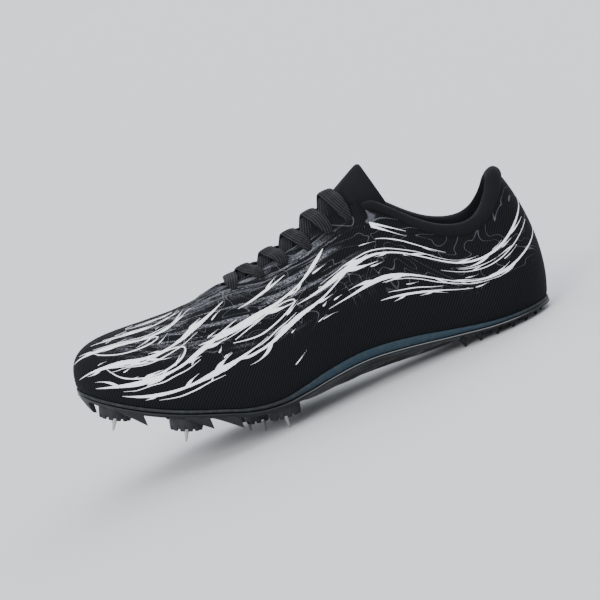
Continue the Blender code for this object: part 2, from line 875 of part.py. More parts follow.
def turned(bm, profile, segments, place, axis, wave=None):
    """Turns a profile of (radius, height) pairs round an axis; wave lifts chosen rings."""
    turn = axis.to_track_quat("Z", "Y").to_matrix()
    rings = []
    for k, (radius, height) in enumerate(profile):
        if radius == 0:
            rings.append([bm.verts.new(place + turn @ Vector((0, 0, height)))])
            continue
        ring = []
        for i in range(segments):
            angle = 2 * math.pi * i / segments
            lift = wave[k] * (i % 2) if wave else 0.0
            spot = Vector((radius * math.cos(angle), radius * math.sin(angle), height + lift))
            ring.append(bm.verts.new(place + turn @ spot))
        rings.append(ring)
    for low, high in zip(rings, rings[1:]):
        for i in range(segments):
            m = (i + 1) % segments
            if len(low) == 1:
                bm.faces.new((low[0], high[m], high[i]))
            elif len(high) == 1:
                bm.faces.new((low[i], low[m], high[0]))
            else:
                bm.faces.new((low[i], low[m], high[m], high[i]))


def pocket_cutters(root):
    bm = bmesh.new()
    for place, axis, _ in well_frames():
        turn = axis.to_track_quat("Z", "Y").to_matrix().to_4x4()
        middle = place + axis * (well_height - well_seat) / 2
        bmesh.ops.create_cone(
            bm, cap_ends=True, segments=16, radius1=well_radius + gap * 2,
            radius2=well_radius + gap * 2, depth=well_height + well_seat,
            matrix=Matrix.Translation(middle) @ turn)
    return new_cutter("well_pocket_cutter", bm, root)


def build_wells(root, material):
    """Round wells with a toothed rim, each seated in its pocket."""
    for number, (place, axis, _) in enumerate(well_frames(), 1):
        bm = bmesh.new()
        seat = gap - well_seat
        bore = thread_radius + gap
        profile = (
            (0.0, seat),
            (well_radius, seat),
            (well_radius * well_taper, well_height - well_tooth_height),
            (well_radius * well_rim, well_height - well_tooth_height),
            (bore, well_height - well_dish),
            (bore, well_height - bore_depth),
            (0.0, well_height - bore_depth),
        )
        wave = [0, 0, well_tooth_height, 0, 0, 0, 0]
        turned(bm, profile, well_teeth * 2, place, axis, wave)
        bmesh.ops.recalc_face_normals(bm, faces=bm.faces)
        mesh = bpy.data.meshes.new("spike_well_%d" % number)
        bm.to_mesh(mesh)
        bm.free()
        smooth(mesh, 30.0)
        new_object("spike_well_%d" % number, mesh, material, root)


def build_spikes(root, material):
    """Screwed pins, each with a small flat at its tip."""
    for number, (place, axis, stands) in enumerate(well_frames(), 1):
        bm = bmesh.new()
        face = well_height - well_dish + gap
        tip = well_height + pin_height
        profile = (
            (0.0, face - thread_length),
            (thread_radius, face - thread_length),
            (thread_radius, face),
            (washer_radius, face),
            (washer_radius, face + washer_height),
            (pin_radius, face + washer_height),
            (pin_radius * pin_waist, (face + washer_height + tip) / 2),
            (pin_tip_radius, tip),
            (0.0, tip),
        )
        turned(bm, profile, 8, place, axis)
        bmesh.ops.recalc_face_normals(bm, faces=bm.faces)
        if stands:
            settle_tip(bm)
        mesh = bpy.data.meshes.new("spike_%d" % number)
        bm.to_mesh(mesh)
        bm.free()
        smooth(mesh, 30.0)
        new_object("spike_%d" % number, mesh, material, root)


def settle_tip(bm):
    """Turns the tip's flat into the ground plane."""
    for vert in bm.verts:
        if vert.co.z < pin_tip_radius:
            vert.co.z = 0.0


def tongue_outer(share):
    """Outer points of the tongue across one station, from the lateral edge to the medial."""
    base = max(share, tongue_split_share)
    under = upper_wall + gap * 2
    dip = tongue_dip if base < throat_front_share - throat_nose / shoe_length else under
    points = []
    for side in (-1, 1):
        ray = middle_ray(base, side)
        end = min(ray_end(ray), tongue_reach)
        half = []
        for k in range(tongue_side_points):
            along = k / (tongue_side_points - 1)
            place, _, normal = ray_frame(ray, tongue_root + (end - tongue_root) * along)
            half.append((place - normal * under, normal))
        place, _, normal = ray_frame(ray, (end + 1) / 2)
        half.append((place - normal * dip, normal))
        points.append(half)
    crown = ray_frame(middle_ray(base, -1), 1.0)[0]
    middle = [(crown - Vector((0, 0, dip)), Vector((0, 0, 1)))]
    return freed(share, points[0] + middle + points[1][::-1])


def freed(share, line):
    """Eases a station's points from the last to the arc of the tongue's free end."""
    gone = max(0.0, tongue_split_share - share) / (tongue_split_share - tongue_tip_share)
    turn = math.radians(tongue_tip_turn)
    crown = instep_height * ridge("rise", share) - tongue_dip
    half = (len(line) - 1) / 2
    moved = []
    for k, (place, normal) in enumerate(line):
        angle = turn * (k - half) / half
        fall = (1 - math.cos(angle)) / (1 - math.cos(turn))
        arc = Vector((0, tongue_tip_half * math.sin(angle) / math.sin(turn), crown))
        arc.z -= tongue_tip_drop * fall
        arc.x = -share * shoe_length + tongue_sweep * fall * gone
        outward = Vector((0, math.sin(angle), math.cos(angle)))
        eased = 1 - (1 - gone) ** tongue_ease
        moved.append((place.lerp(arc, eased), normal.lerp(outward, eased).normalized()))
    return moved


def build_tongue(root, material):
    """Padded tongue: lies under the facings, then stands free in front of the collar."""
    sections = []
    for k in range(tongue_stations + 1):
        share = tongue_tip_share + (tongue_front_share - tongue_tip_share) * k / tongue_stations
        outer = tongue_outer(share)
        last = len(outer) - 1
        inner = []
        for i, (place, normal) in enumerate(outer):
            deep = tongue_edge + (tongue_thickness - tongue_edge) * math.sin(math.pi * i / last)
            inner.append(place - normal * deep)
        sections.append([place for place, normal in outer] + inner[::-1])
    return sweep("tongue", sections, root, material)


def last_point(share, y):
    """Point and normal on the last's full arch at a place across it."""
    side = -1 if y < 0 else 1
    ray = middle_ray(share, side)
    place, _, normal = ray_frame(ray, crossing(ray_controls(ray), abs(y)))
    return place, normal


def hole_place(share, side):
    return ray_at_depth(middle_ray(share, side), hole_inset)[0]


def lace_strip(bm, start, end, layer):
    """Flat strip over the throat from the hole at start to the hole at end."""
    from_hole = hole_place(*start)
    to_hole = hole_place(*end)
    centres = []
    for k in range(strip_steps + 1):
        t = k / strip_steps
        share = start[0] + (end[0] - start[0]) * t
        y = from_hole.y + (to_hole.y - from_hole.y) * t
        place, normal = last_point(share, y)
        lift = facing_step + lace_clear + lace_thickness / 2 + lace_layer * layer
        lift += lace_lift * math.sin(math.pi * t)
        centres.append((place + normal * lift, normal))
    rings = []
    for k, (place, normal) in enumerate(centres):
        ahead = centres[min(k + 1, strip_steps)][0] - centres[max(k - 1, 0)][0]
        across = ahead.cross(normal).normalized() * lace_width / 2
        thick = normal * lace_thickness / 2
        corners = (place - across - thick, place + across - thick,
                   place + across + thick, place - across + thick)
        rings.append([bm.verts.new(c) for c in corners])
    for low, high in zip(rings, rings[1:]):
        for i in range(4):
            m = (i + 1) % 4
            bm.faces.new((low[i], low[m], high[m], high[i]))
    bm.faces.new(rings[0][::-1])
    bm.faces.new(rings[-1])


def build_laces(root, material):
    """A bar across the lowest holes and the crossings above it, joined where they meet."""
    steps = list(zip(hole_shares, hole_shares[1:]))
    layers = [bmesh.new(), bmesh.new(), bmesh.new()]
    for front, back in steps:
        lace_strip(layers[0], (front, -1), (back, 1), 0)
        lace_strip(layers[1], (front, 1), (back, -1), 2)
    lace_strip(layers[2], (hole_shares[0], -1), (hole_shares[0], 1), 1)
    for bm in layers:
        bmesh.ops.recalc_face_normals(bm, faces=bm.faces)
    mesh = bpy.data.meshes.new("laces")
    layers[0].to_mesh(mesh)
    layers[0].free()
    obj = new_object("laces", mesh, material, root)
    combine(obj, new_cutter("lace_returns", layers[1], root), "UNION")
    combine(obj, new_cutter("lace_bar", layers[2], root), "UNION")


def stand_on_origin(root):
    """Moves the whole shoe so that the middle of its box's base is the origin."""
    bpy.context.view_layer.update()
    graph = bpy.context.evaluated_depsgraph_get()
    corners = []
    for obj in bpy.data.objects:
        if obj.type == "MESH" and not obj.hide_render:
            solid = obj.evaluated_get(graph)
            corners += [solid.matrix_world @ vert.co for vert in solid.data.vertices]
    for axis in (0, 1):
        values = [corner[axis] for corner in corners]
        root.location[axis] = -(min(values) + max(values)) / 2


def build():
    for obj in list(bpy.data.objects):
        bpy.data.objects.remove(obj)
    root = bpy.data.objects.new("shoe", None)
    bpy.context.scene.collection.objects.link(root)
    textile = make_material("upper_textile", (0.010, 0.011, 0.013), 0.75, 0.0)
    padding = make_material("collar_textile", (0.009, 0.010, 0.011), 0.85, 0.0)
    knit = make_material("tongue_textile", (0.011, 0.012, 0.013), 0.85, 0.0)
    braid = make_material("lace_braid", (0.022, 0.024, 0.028), 0.80, 0.0)
    foam = make_material("midsole_foam", (0.040, 0.046, 0.050), 0.55, 0.0)
    sock = make_material("insole_textile", (0.030, 0.031, 0.033), 0.90, 0.0)
    plate = make_material("plate_plastic", (0.016, 0.017, 0.018), 0.18, 0.0)
    rubber = make_material("well_plastic", (0.020, 0.022, 0.024), 0.55, 0.0)
    steel = make_material("spike_steel", (0.70, 0.69, 0.67), 0.22, 1.0)
    build_plate(root, plate)
    build_sole_layer("midsole", midsole_top, midsole_bottom, midsole_swell, 0.0, root, foam)
    build_sole_layer("insole", insole_top, insole_bottom, 0.0, insole_inset, root, sock)
    build_upper(root, textile)
    build_collar(root, padding)
    build_tongue(root, knit)
    build_laces(root, braid)
    build_wells(root, rubber)
    build_spikes(root, steel)
    stand_on_origin(root)


build()
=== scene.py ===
# Looks of the left track spike shoe. Metres, +Z up, toe towards -X, lateral side -Y.
import math
import random

import bmesh
import bpy
from mathutils import Matrix, Vector, noise


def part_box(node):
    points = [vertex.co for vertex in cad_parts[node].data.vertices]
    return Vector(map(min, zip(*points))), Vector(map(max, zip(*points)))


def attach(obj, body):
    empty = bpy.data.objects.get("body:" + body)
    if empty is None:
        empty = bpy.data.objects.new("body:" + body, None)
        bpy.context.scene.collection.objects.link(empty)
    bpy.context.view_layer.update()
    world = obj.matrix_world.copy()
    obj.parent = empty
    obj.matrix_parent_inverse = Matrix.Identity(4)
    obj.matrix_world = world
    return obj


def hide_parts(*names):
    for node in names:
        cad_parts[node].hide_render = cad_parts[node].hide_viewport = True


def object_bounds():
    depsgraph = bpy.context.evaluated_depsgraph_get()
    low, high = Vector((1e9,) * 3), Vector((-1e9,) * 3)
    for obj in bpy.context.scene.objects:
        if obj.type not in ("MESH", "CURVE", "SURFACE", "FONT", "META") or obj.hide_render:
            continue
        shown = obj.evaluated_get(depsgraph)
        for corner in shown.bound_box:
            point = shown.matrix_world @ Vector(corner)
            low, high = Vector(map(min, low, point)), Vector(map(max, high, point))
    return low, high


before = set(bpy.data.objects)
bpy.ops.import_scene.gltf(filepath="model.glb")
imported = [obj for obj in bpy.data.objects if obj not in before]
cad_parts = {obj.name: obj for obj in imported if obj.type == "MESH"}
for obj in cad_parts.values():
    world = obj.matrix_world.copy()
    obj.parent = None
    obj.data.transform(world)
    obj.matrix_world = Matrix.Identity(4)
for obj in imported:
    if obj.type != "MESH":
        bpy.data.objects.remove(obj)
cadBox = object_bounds()
mm = 0.001

# The last: the sizes that the solids stand on.
last = {
    "length": 0.267, "ballWidth": 0.090, "heelWidth": 0.057,
    "toeHeight": 0.061, "instepHeight": 0.0835, "collarHeight": 0.0825,
    "heelOverhang": 0.007, "toeShift": 0.006, "ridgeShift": 0.6,
    "heelTurn": 0.17, "toeTurn": 0.73, "ridgeEnd": 0.869,  # shares of the length from the heel
    "collarFront": 0.322, "throatFront": 0.652, "throatNose": 0.009,
    "heelTabHalf": 0.0257, "wall": 0.0016, "gap": 0.0003,
    "facingStep": 0.0005, "facingWidth": 0.011, "facingEase": 0.016,
    "coverFrom": 0.50, "coverRun": 0.23, "swell": 0.0002,
}

# share, lateral half, medial half, rise, skew
outlineRows = (
    (0.03, 0.317, 0.317, 0.106, 0.00), (0.10, 0.317, 0.317, 0.121, 0.00),
    (0.17, 0.317, 0.312, 0.160, 0.00), (0.24, 0.317, 0.298, 0.224, 0.00),
    (0.32, 0.328, 0.280, 0.306, 0.00), (0.42, 0.361, 0.300, 0.368, 0.03),
    (0.52, 0.444, 0.372, 0.358, 0.15), (0.60, 0.500, 0.430, 0.320, 0.28),
    (0.66, 0.524, 0.462, 0.300, 0.30), (0.73, 0.530, 0.474, 0.345, 0.28),
    (0.79, 0.520, 0.468, 0.452, 0.22), (0.84, 0.470, 0.440, 0.560, 0.16),
    (0.89, 0.380, 0.370, 0.690, 0.10), (0.94, 0.260, 0.260, 0.830, 0.05),
    (1.00, 0.010, 0.010, 1.000, 0.00),
)
# share, rise, half width, lean, reach
collarRows = (
    (0.022, 0.945, 0.42, 72.0, 0.26), (0.030, 0.915, 0.42, 73.0, 0.26),
    (0.045, 0.850, 0.42, 75.0, 0.27), (0.064, 0.790, 0.42, 77.0, 0.27),
    (0.086, 0.740, 0.42, 79.0, 0.28), (0.120, 0.706, 0.43, 82.0, 0.29),
    (0.157, 0.722, 0.45, 84.0, 0.30), (0.191, 0.775, 0.45, 83.0, 0.30),
    (0.221, 0.855, 0.43, 79.0, 0.30), (0.262, 0.995, 0.385, 71.0, 0.30),
    (0.292, 1.090, 0.355, 66.0, 0.30), (0.322, 1.136, 0.33, 62.0, 0.30),
)
# share, rise, throat half width, reach
ridgeRows = (
    (0.281, 1.388, 0.35, 0.26), (0.322, 1.323, 0.33, 0.26), (0.348, 1.281, 0.305, 0.26),
    (0.397, 1.204, 0.275, 0.27), (0.450, 1.126, 0.25, 0.27), (0.500, 1.075, 0.225, 0.28),
    (0.550, 1.030, 0.20, 0.28), (0.590, 1.008, 0.18, 0.29), (0.652, 0.992, 0.15, 0.33),
    (0.700, 0.968, 0.15, 0.38), (0.740, 0.960, 0.15, 0.45), (0.790, 0.964, 0.15, 0.52),
    (0.869, 0.982, 0.15, 0.60),
)
# share, flare, grip
formRows = (
    (0.02, 114.0, 0.36), (0.10, 108.0, 0.35), (0.17, 101.0, 0.34), (0.24, 97.0, 0.36),
    (0.32, 95.0, 0.40), (0.41, 94.0, 0.43), (0.50, 94.0, 0.44), (0.60, 94.0, 0.44),
    (0.73, 94.0, 0.44), (0.87, 92.0, 0.42), (1.00, 86.0, 0.42),
)
# share, band, edge, depth, tuck
soleRows = (
    (0.02, 0.0060, 0.0056, 0.0080, 0.016), (0.10, 0.0064, 0.0056, 0.0086, 0.020),
    (0.20, 0.0100, 0.0056, 0.0130, 0.030), (0.32, 0.0165, 0.0056, 0.0280, 0.036),
    (0.44, 0.0170, 0.0056, 0.0310, 0.036), (0.54, 0.0140, 0.0060, 0.0220, 0.028),
    (0.60, 0.0090, 0.0095, 0.0130, 0.014), (0.66, 0.0076, 0.0105, 0.0115, 0.010),
    (0.85, 0.0076, 0.0100, 0.0115, 0.010), (1.00, 0.0076, 0.0095, 0.0110, 0.010),
)
# share, side, lean, stands on its pin
wellRows = (
    (0.620, -0.370, 5.0, 1), (0.668, -0.165, 6.0, 1), (0.697, 0.055, 8.0, 1), (0.703, 0.285, 5.0, 1),
    (0.808, -0.365, 24.0, 0), (0.824, 0.335, 22.0, 0), (0.936, -0.130, 31.0, 0), (0.940, 0.160, 31.0, 0),
)


def curveThrough(rows, column):  # smooth curve through one column of a table
    xs = [row[0] for row in rows]
    ys = [row[column] for row in rows]
    steps = [(ys[i + 1] - ys[i]) / (xs[i + 1] - xs[i]) for i in range(len(xs) - 1)]
    slopes = [steps[0]]
    for i in range(1, len(xs) - 1):
        before = xs[i] - xs[i - 1]
        after = xs[i + 1] - xs[i]
        slopes.append((steps[i - 1] * after + steps[i] * before) / (before + after))
    slopes.append(steps[-1])

    def at(share):
        if share <= xs[0]:
            return ys[0]
        if share >= xs[-1]:
            return ys[-1]
        k = 0
        while xs[k + 1] < share:
            k += 1
        span = xs[k + 1] - xs[k]
        t = (share - xs[k]) / span
        start = (2 * t ** 3 - 3 * t ** 2 + 1) * ys[k] + (t ** 3 - 2 * t ** 2 + t) * span * slopes[k]
        return start + (3 * t ** 2 - 2 * t ** 3) * ys[k + 1] + (t ** 3 - t ** 2) * span * slopes[k + 1]

    return at


lateralAt, medialAt, riseAt, skewAt = (curveThrough(outlineRows, c) for c in (1, 2, 3, 4))
collarRise, collarHalf, collarLean, collarReach = (curveThrough(collarRows, c) for c in (1, 2, 3, 4))
ridgeRise, throatShare, ridgeReach = (curveThrough(ridgeRows, c) for c in (1, 2, 3))
flareAt, gripAt = (curveThrough(formRows, c) for c in (1, 2))
bandAt, edgeAt, depthAt, tuckAt = (curveThrough(soleRows, c) for c in (1, 2, 3, 4))

# The solids' own shift from the heel's back to the middle of their box.
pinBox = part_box("spike_1")
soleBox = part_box("midsole")
pinSide = wellRows[0][1] * last["ballWidth"]
shift = Vector((soleBox[0][0] + last["length"] + last["swell"],
                (pinBox[0][1] + pinBox[1][1]) / 2 - pinSide, 0))


def mix(a, b, t):
    return a + (b - a) * t


def ease(t):
    t = max(0.0, min(1.0, t))
    return t * t * (3 - 2 * t)


def shareOf(x):  # share of the length from the heel
    return -x / last["length"]


def featherHeight(x, y):
    share = shareOf(x)
    return last["toeHeight"] * riseAt(share - skewAt(share) * y / last["length"])


def footHalf(share, side):
    return last["ballWidth"] * (lateralAt if side < 0 else medialAt)(share)


def bezier(points, t):
    a, b, c, d = points
    s = 1 - t
    return a * s ** 3 + b * (3 * s * s * t) + c * (3 * s * t * t) + d * t ** 3


def throatHalf(share):
    half = last["heelWidth"] * throatShare(share)
    back = last["throatFront"] - last["throatNose"] / last["length"]
    if share > back:
        half *= math.sqrt(max(0.0, 1 - ((share - back) / (last["throatFront"] - back)) ** 2))
    return half


def crossing(points, half):  # where a ray comes in to a half width, over the widest place of the side
    low, high, halvings = 0.3, 1.0, 22
    for _ in range(halvings):
        middle = (low + high) / 2
        if abs(bezier(points, middle).y) > half:
            low = middle
        else:
            high = middle
    return low


def shapeRay(side, share, foot, spine, out, turn=None):  # one line of the last, from sole to top
    foot = Vector((foot.x, foot.y, featherHeight(foot.x, foot.y)))
    onCollar = turn is not None or share < last["collarFront"]
    x = -share * last["length"]
    if onCollar:
        half = last["heelWidth"] * collarHalf(share) if turn is None else last["heelTabHalf"] * turn
        top = Vector((x, side * half, last["collarHeight"] * collarRise(share)))
    else:
        top = Vector((x, spine.y, last["instepHeight"] * ridgeRise(share)))
    span = (top - foot).length
    flare = math.radians(flareAt(shareOf(foot.x)))
    grip = span * gripAt(shareOf(foot.x))
    low = foot - out * math.cos(flare) * grip + Vector((0, 0, math.sin(flare) * grip))
    if onCollar:
        lean = math.radians(collarLean(share))
        reach = span * collarReach(share)
        high = top + out * math.cos(lean) * reach - Vector((0, 0, math.sin(lean) * reach))
    else:
        step = 0.004
        climb = last["instepHeight"] * (ridgeRise(share) - ridgeRise(share - step))
        high = top + out * span * ridgeReach(share)
        high.z += climb / (step * last["length"]) * (top.x - high.x)
    points = (foot, low, high, top)
    inThroat = not onCollar and share < last["throatFront"] - 1e-6
    end = crossing(points, throatHalf(share)) if inThroat else 1.0
    cover = 1.0  # where the print's share up comes to 1
    if not onCollar:
        cover = crossing(points, last["heelWidth"] * throatShare(share))
        cover = mix(cover, 1.0, ease((share - last["coverFrom"]) / last["coverRun"]))
    return {"side": side, "share": share, "foot": foot, "spine": spine, "out": out,
            "points": points, "end": end, "collar": onCollar, "cover": cover}


def acrossRay(share, side):  # straight across the shoe
    foot = Vector((-share * last["length"], side * footHalf(share, side), 0))
    return shapeRay(side, share, foot, Vector((foot.x, 0, 0)), Vector((0, side, 0)))


def heelRay(side, turn):  # turn: 0 at the heel's back to 1 where the side begins
    angle = turn * math.pi / 2
    x = -last["heelTurn"] * last["length"]
    deep = last["heelTurn"] * last["length"] - last["heelOverhang"]
    half = footHalf(last["heelTurn"], side)
    foot = Vector((x + deep * math.cos(angle), side * half * math.sin(angle), 0))
    out = Vector((foot.x - x, foot.y, 0)).normalized()
    share = last["heelTurn"] - (last["heelTurn"] - collarRows[0][0]) * math.cos(angle)
    return shapeRay(side, share, foot, Vector((x, 0, 0)), out, math.sin(angle))


def toeRay(side, turn):  # turn: 0 where the toe's curve begins to 1 at the tip
    angle = turn * math.pi / 2
    length = last["length"]
    foot = Vector((-(last["toeTurn"] + (1 - last["toeTurn"]) * math.sin(angle)) * length,
                   side * footHalf(last["toeTurn"], side) * math.cos(angle)
                   + last["toeShift"] * math.sin(angle) ** 2, 0))
    along = 1 - math.cos(angle)
    share = mix(last["toeTurn"], last["ridgeEnd"], along)
    spine = Vector((-share * length, last["toeShift"] * along * last["ridgeShift"], 0))
    return shapeRay(side, share, foot, spine, (foot - spine).normalized())


def rayAt(side, s):  # s: 0 heel's back, 1 to 2 the side, 3 toe tip
    if s < 1:
        return heelRay(side, max(0.0, s))
    if s <= 2:
        return acrossRay(mix(last["heelTurn"], last["toeTurn"], s - 1), side)
    return toeRay(side, min(1.0, s - 2))


def rayFrame(ray, t):  # place, way out, way up
    points, nudge = ray["points"], 0.01
    up = (bezier(points, min(1.0, t + nudge)) - bezier(points, max(0.0, t - nudge))).normalized()
    return bezier(points, t), Vector((0, 0, 1)).cross(ray["out"]).cross(up).normalized(), up


def rayAtDepth(ray, depth):  # place and way out at a distance below the top line
    t = ray["end"]
    place, normal, up = rayFrame(ray, t)
    if depth <= 0:
        return place - up * depth, normal
    walked, step, lowest = 0.0, 0.005, 0.02
    while walked < depth and t > lowest:
        t -= step
        lower = bezier(ray["points"], t)
        walked += (place - lower).length
        place = lower
    return rayFrame(ray, t)[:2]


def archPoint(share, y):  # place and way out on the last's full arch
    ray = acrossRay(share, -1 if y < 0 else 1)
    return rayFrame(ray, crossing(ray["points"], abs(y)))[:2]


def roundShoe(counts):  # rays all round, from the heel's back over the lateral side and the toe
    nose = last["throatNose"] / last["length"]
    back = last["throatFront"] - nose
    sides = []
    for side in (-1, 1):
        rays = [heelRay(side, k / counts["heel"]) for k in range(counts["heel"])]
        shares = []
        for start, end, part in ((last["heelTurn"], last["collarFront"], "collar"),
                                 (last["collarFront"], back, "facing")):
            shares += [mix(start, end, k / counts[part]) for k in range(counts[part])]
        shares += [back + nose * math.sin(math.pi / 2 * k / counts["nose"])
                   for k in range(counts["nose"] + 1)]
        shares += [mix(last["throatFront"], last["toeTurn"], k / counts["vamp"])
                   for k in range(1, counts["vamp"])]
        rays += [acrossRay(share, side) for share in shares]
        rays += [toeRay(side, k / counts["toe"]) for k in range(counts["toe"] + 1)]
        sides.append(rays)
    return sides[0] + sides[1][1:-1][::-1]


def walkAlong(points):  # metres walked from point to point
    walk = [0.0]
    for a, b in zip(points, points[1:]):
        walk.append(walk[-1] + (b - a).length)
    return walk


def linkObject(name, data):
    made = bpy.data.objects.new(name, data)
    bpy.context.scene.collection.objects.link(made)
    return made


def newPiece(name, vertices, faces, material, nodes=(), uvs=None, prints=None, parts=None, flat=35.0):
    bm = bmesh.new()
    made = [bm.verts.new(v + shift) for v in vertices]
    layers = [(bm.loops.layers.uv.new(label), places)
              for label, places in (("UVMap", uvs), ("printMap", prints)) if places]
    for k, face in enumerate(faces):
        poly = bm.faces.new([made[i] for i in face])
        if parts:
            poly.material_index = parts[k]
        for layer, places in layers:
            for loop, place in zip(poly.loops, places[k]):
                loop[layer].uv = place
    bmesh.ops.remove_doubles(bm, verts=bm.verts, dist=1e-6)
    bmesh.ops.recalc_face_normals(bm, faces=bm.faces)
    mesh = bpy.data.meshes.new(name)
    bm.to_mesh(mesh)
    bm.free()
    mesh.shade_smooth()
    mesh.set_sharp_from_angle(angle=math.radians(flat))
    piece = linkObject(name, mesh)
    for part in material if isinstance(material, (list, tuple)) else [material]:
        mesh.materials.append(part)
    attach(piece, "root")
    if nodes:
        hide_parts(*nodes)
    return piece


def tubeGrid(sections):  # vertices, faces and metre UVs over closed sections, with both ends shut
    rows, count = len(sections), len(sections[0])
    faces, uvs = [], []
    along = walkAlong([section[0] for section in sections])
    walks = [walkAlong(section + section[:1]) for section in sections]
    for i in range(rows - 1):
        k = i + 1
        for j in range(count):
            m = (j + 1) % count
            faces.append((i * count + j, k * count + j, k * count + m, i * count + m))
            uvs.append(((along[i], walks[i][j]), (along[k], walks[k][j]),
                        (along[k], walks[k][j + 1]), (along[i], walks[i][j + 1])))
    for first in (0, (rows - 1) * count):
        faces.append(tuple(range(first, first + count)))
        uvs.append([(0.0, 0.0)] * count)
    return [point for section in sections for point in section], faces, uvs


def ringFaces(rows, count, first=0):  # a closed body from rings of points, one after the other
    faces = []
    for row in range(rows - 1):
        for j in range(count):
            a = first + row * count + j
            b = first + row * count + (j + 1) % count
            faces.append((a, b, b + count, a + count))
    faces.append(tuple(range(first, first + count)))
    faces.append(tuple(range(first + (rows - 1) * count, first + rows * count))[::-1])
    return faces


def between(a, b, c, d, t):  # Catmull-Rom from b to c
    return (b * 2 + (c - a) * t + (a * 2 - b * 5 + c * 4 - d) * t * t
            + (b * 3 - a - c * 3 + d) * t ** 3) * 0.5


def smoothLoop(points, cuts):
    n = len(points)
    return [between(points[i - 1], points[i], points[(i + 1) % n], points[(i + 2) % n], k / cuts)
            for i in range(n) for k in range(cuts)]


def smoothLine(points, cuts):
    n = len(points)
    out = [between(points[max(0, i - 1)], points[i], points[i + 1], points[min(n - 1, i + 2)], k / cuts)
           for i in range(n - 1) for k in range(cuts)]
    return out + [points[-1].copy()]


# Finishes.
def newGroup(name, inputs, outputs):
    group = bpy.data.node_groups.new(name, "ShaderNodeTree")
    for label, value in inputs:
        socket = group.interface.new_socket(label, in_out="INPUT", socket_type="NodeSocketFloat")
        socket.default_value = value
    for label in outputs:
        group.interface.new_socket(label, in_out="OUTPUT", socket_type="NodeSocketFloat")
    return group, group.nodes.new("NodeGroupInput"), group.nodes.new("NodeGroupOutput")


def feed(tree, socket, value):  # a plain value or a link
    if isinstance(value, (int, float)):
        socket.default_value = value
    elif isinstance(value, tuple):
        socket.default_value = (*value, 1.0)
    else:
        tree.links.new(value, socket)


def mathNode(tree, operation, *values):
    node = tree.nodes.new("ShaderNodeMath")
    node.operation = operation
    for index, value in enumerate(values):
        feed(tree, node.inputs[index], value)
    return node.outputs[0]


def rampNode(tree, value, low, high):  # smooth step from 0 at low to 1 at high
    node = tree.nodes.new("ShaderNodeMapRange")
    node.interpolation_type = "SMOOTHSTEP"
    for label, number in (("Value", value), ("From Min", low), ("From Max", high)):
        feed(tree, node.inputs[label], number)
    return node.outputs["Result"]


def fadeNode(tree, *fades):  # product of smooth steps, each of a value and its low and high
    made = None
    for value, (low, high) in fades:
        step = rampNode(tree, value, low, high)
        made = step if made is None else mathNode(tree, "MULTIPLY", made, step)
    return made


def noiseNode(tree, vector, scale, detail, rough=0.5, distortion=0.0):
    node = tree.nodes.new("ShaderNodeTexNoise")
    for label, value in (("Vector", vector), ("Scale", scale), ("Detail", detail), ("Roughness", rough),
                         ("Distortion", distortion)):
        feed(tree, node.inputs[label], value)
    return node.outputs["Fac"]


def mixColor(tree, fac, a, b):
    node = tree.nodes.new("ShaderNodeMix")
    node.data_type = "RGBA"
    for index, value in ((0, fac), (6, a), (7, b)):  # the factor and the two colours
        feed(tree, node.inputs[index], value)
    return node.outputs[2]


def waveNode(tree, turns):  # 0 to 1 and back in each turn
    wave = mathNode(tree, "SINE", mathNode(tree, "MULTIPLY", turns, 2 * math.pi))
    return mathNode(tree, "MULTIPLY_ADD", wave, 0.5, 0.5)


def uvNode(tree, layer):
    node = tree.nodes.new("ShaderNodeUVMap")
    node.uv_map = layer
    return node.outputs["UV"]


def objectPlace(tree):
    return tree.nodes.new("ShaderNodeTexCoord").outputs["Object"]


def splitNode(tree, vector):
    node = tree.nodes.new("ShaderNodeSeparateXYZ")
    tree.links.new(vector, node.inputs[0])
    return node.outputs


def putOut(group, put, **values):
    for label, value in values.items():
        group.links.new(value, put.inputs[label])
    return group


grainLook = {  # noise scales per metre, depths as shares of the relief
    "wobble": 60.0, "sway": 0.0022, "weaveFuzz": 1800.0, "thread": 0.3, "fuzzDepth": 0.5,
    "loopSpread": 0.35, "knitFuzz": 2600.0, "cloud": 45.0,
    "braidFuzz": 2200.0, "lean": 0.8, "crown": 2.4, "sharpCrest": 1.8, "crestHighlightShare": 0.85,
}


def ribWeave():  # slanted ribs with a fine weave across them, from metre UVs
    g = grainLook
    group, given, put = newGroup("ribWeave", (("Pitch", 0.0015), ("Slant", 0.7), ("Cross Pitch", 0.0009)),
                                 ("Height", "Rib"))
    uv = uvNode(group, "UVMap")
    split = splitNode(group, uv)
    slanted = mathNode(group, "MULTIPLY_ADD", split["Y"], given.outputs["Slant"], split["X"])
    slanted = mathNode(group, "MULTIPLY_ADD", noiseNode(group, uv, g["wobble"], 2.0), g["sway"], slanted)
    rib = waveNode(group, mathNode(group, "DIVIDE", slanted, given.outputs["Pitch"]))
    thread = waveNode(group, mathNode(group, "DIVIDE", split["Y"], given.outputs["Cross Pitch"]))
    fuzz = noiseNode(group, uv, g["weaveFuzz"], 3.0, 0.6)
    height = mathNode(group, "MULTIPLY_ADD", thread, g["thread"], rib)
    height = mathNode(group, "MULTIPLY_ADD", fuzz, g["fuzzDepth"], height)
    return putOut(group, put, Height=height, Rib=rib)


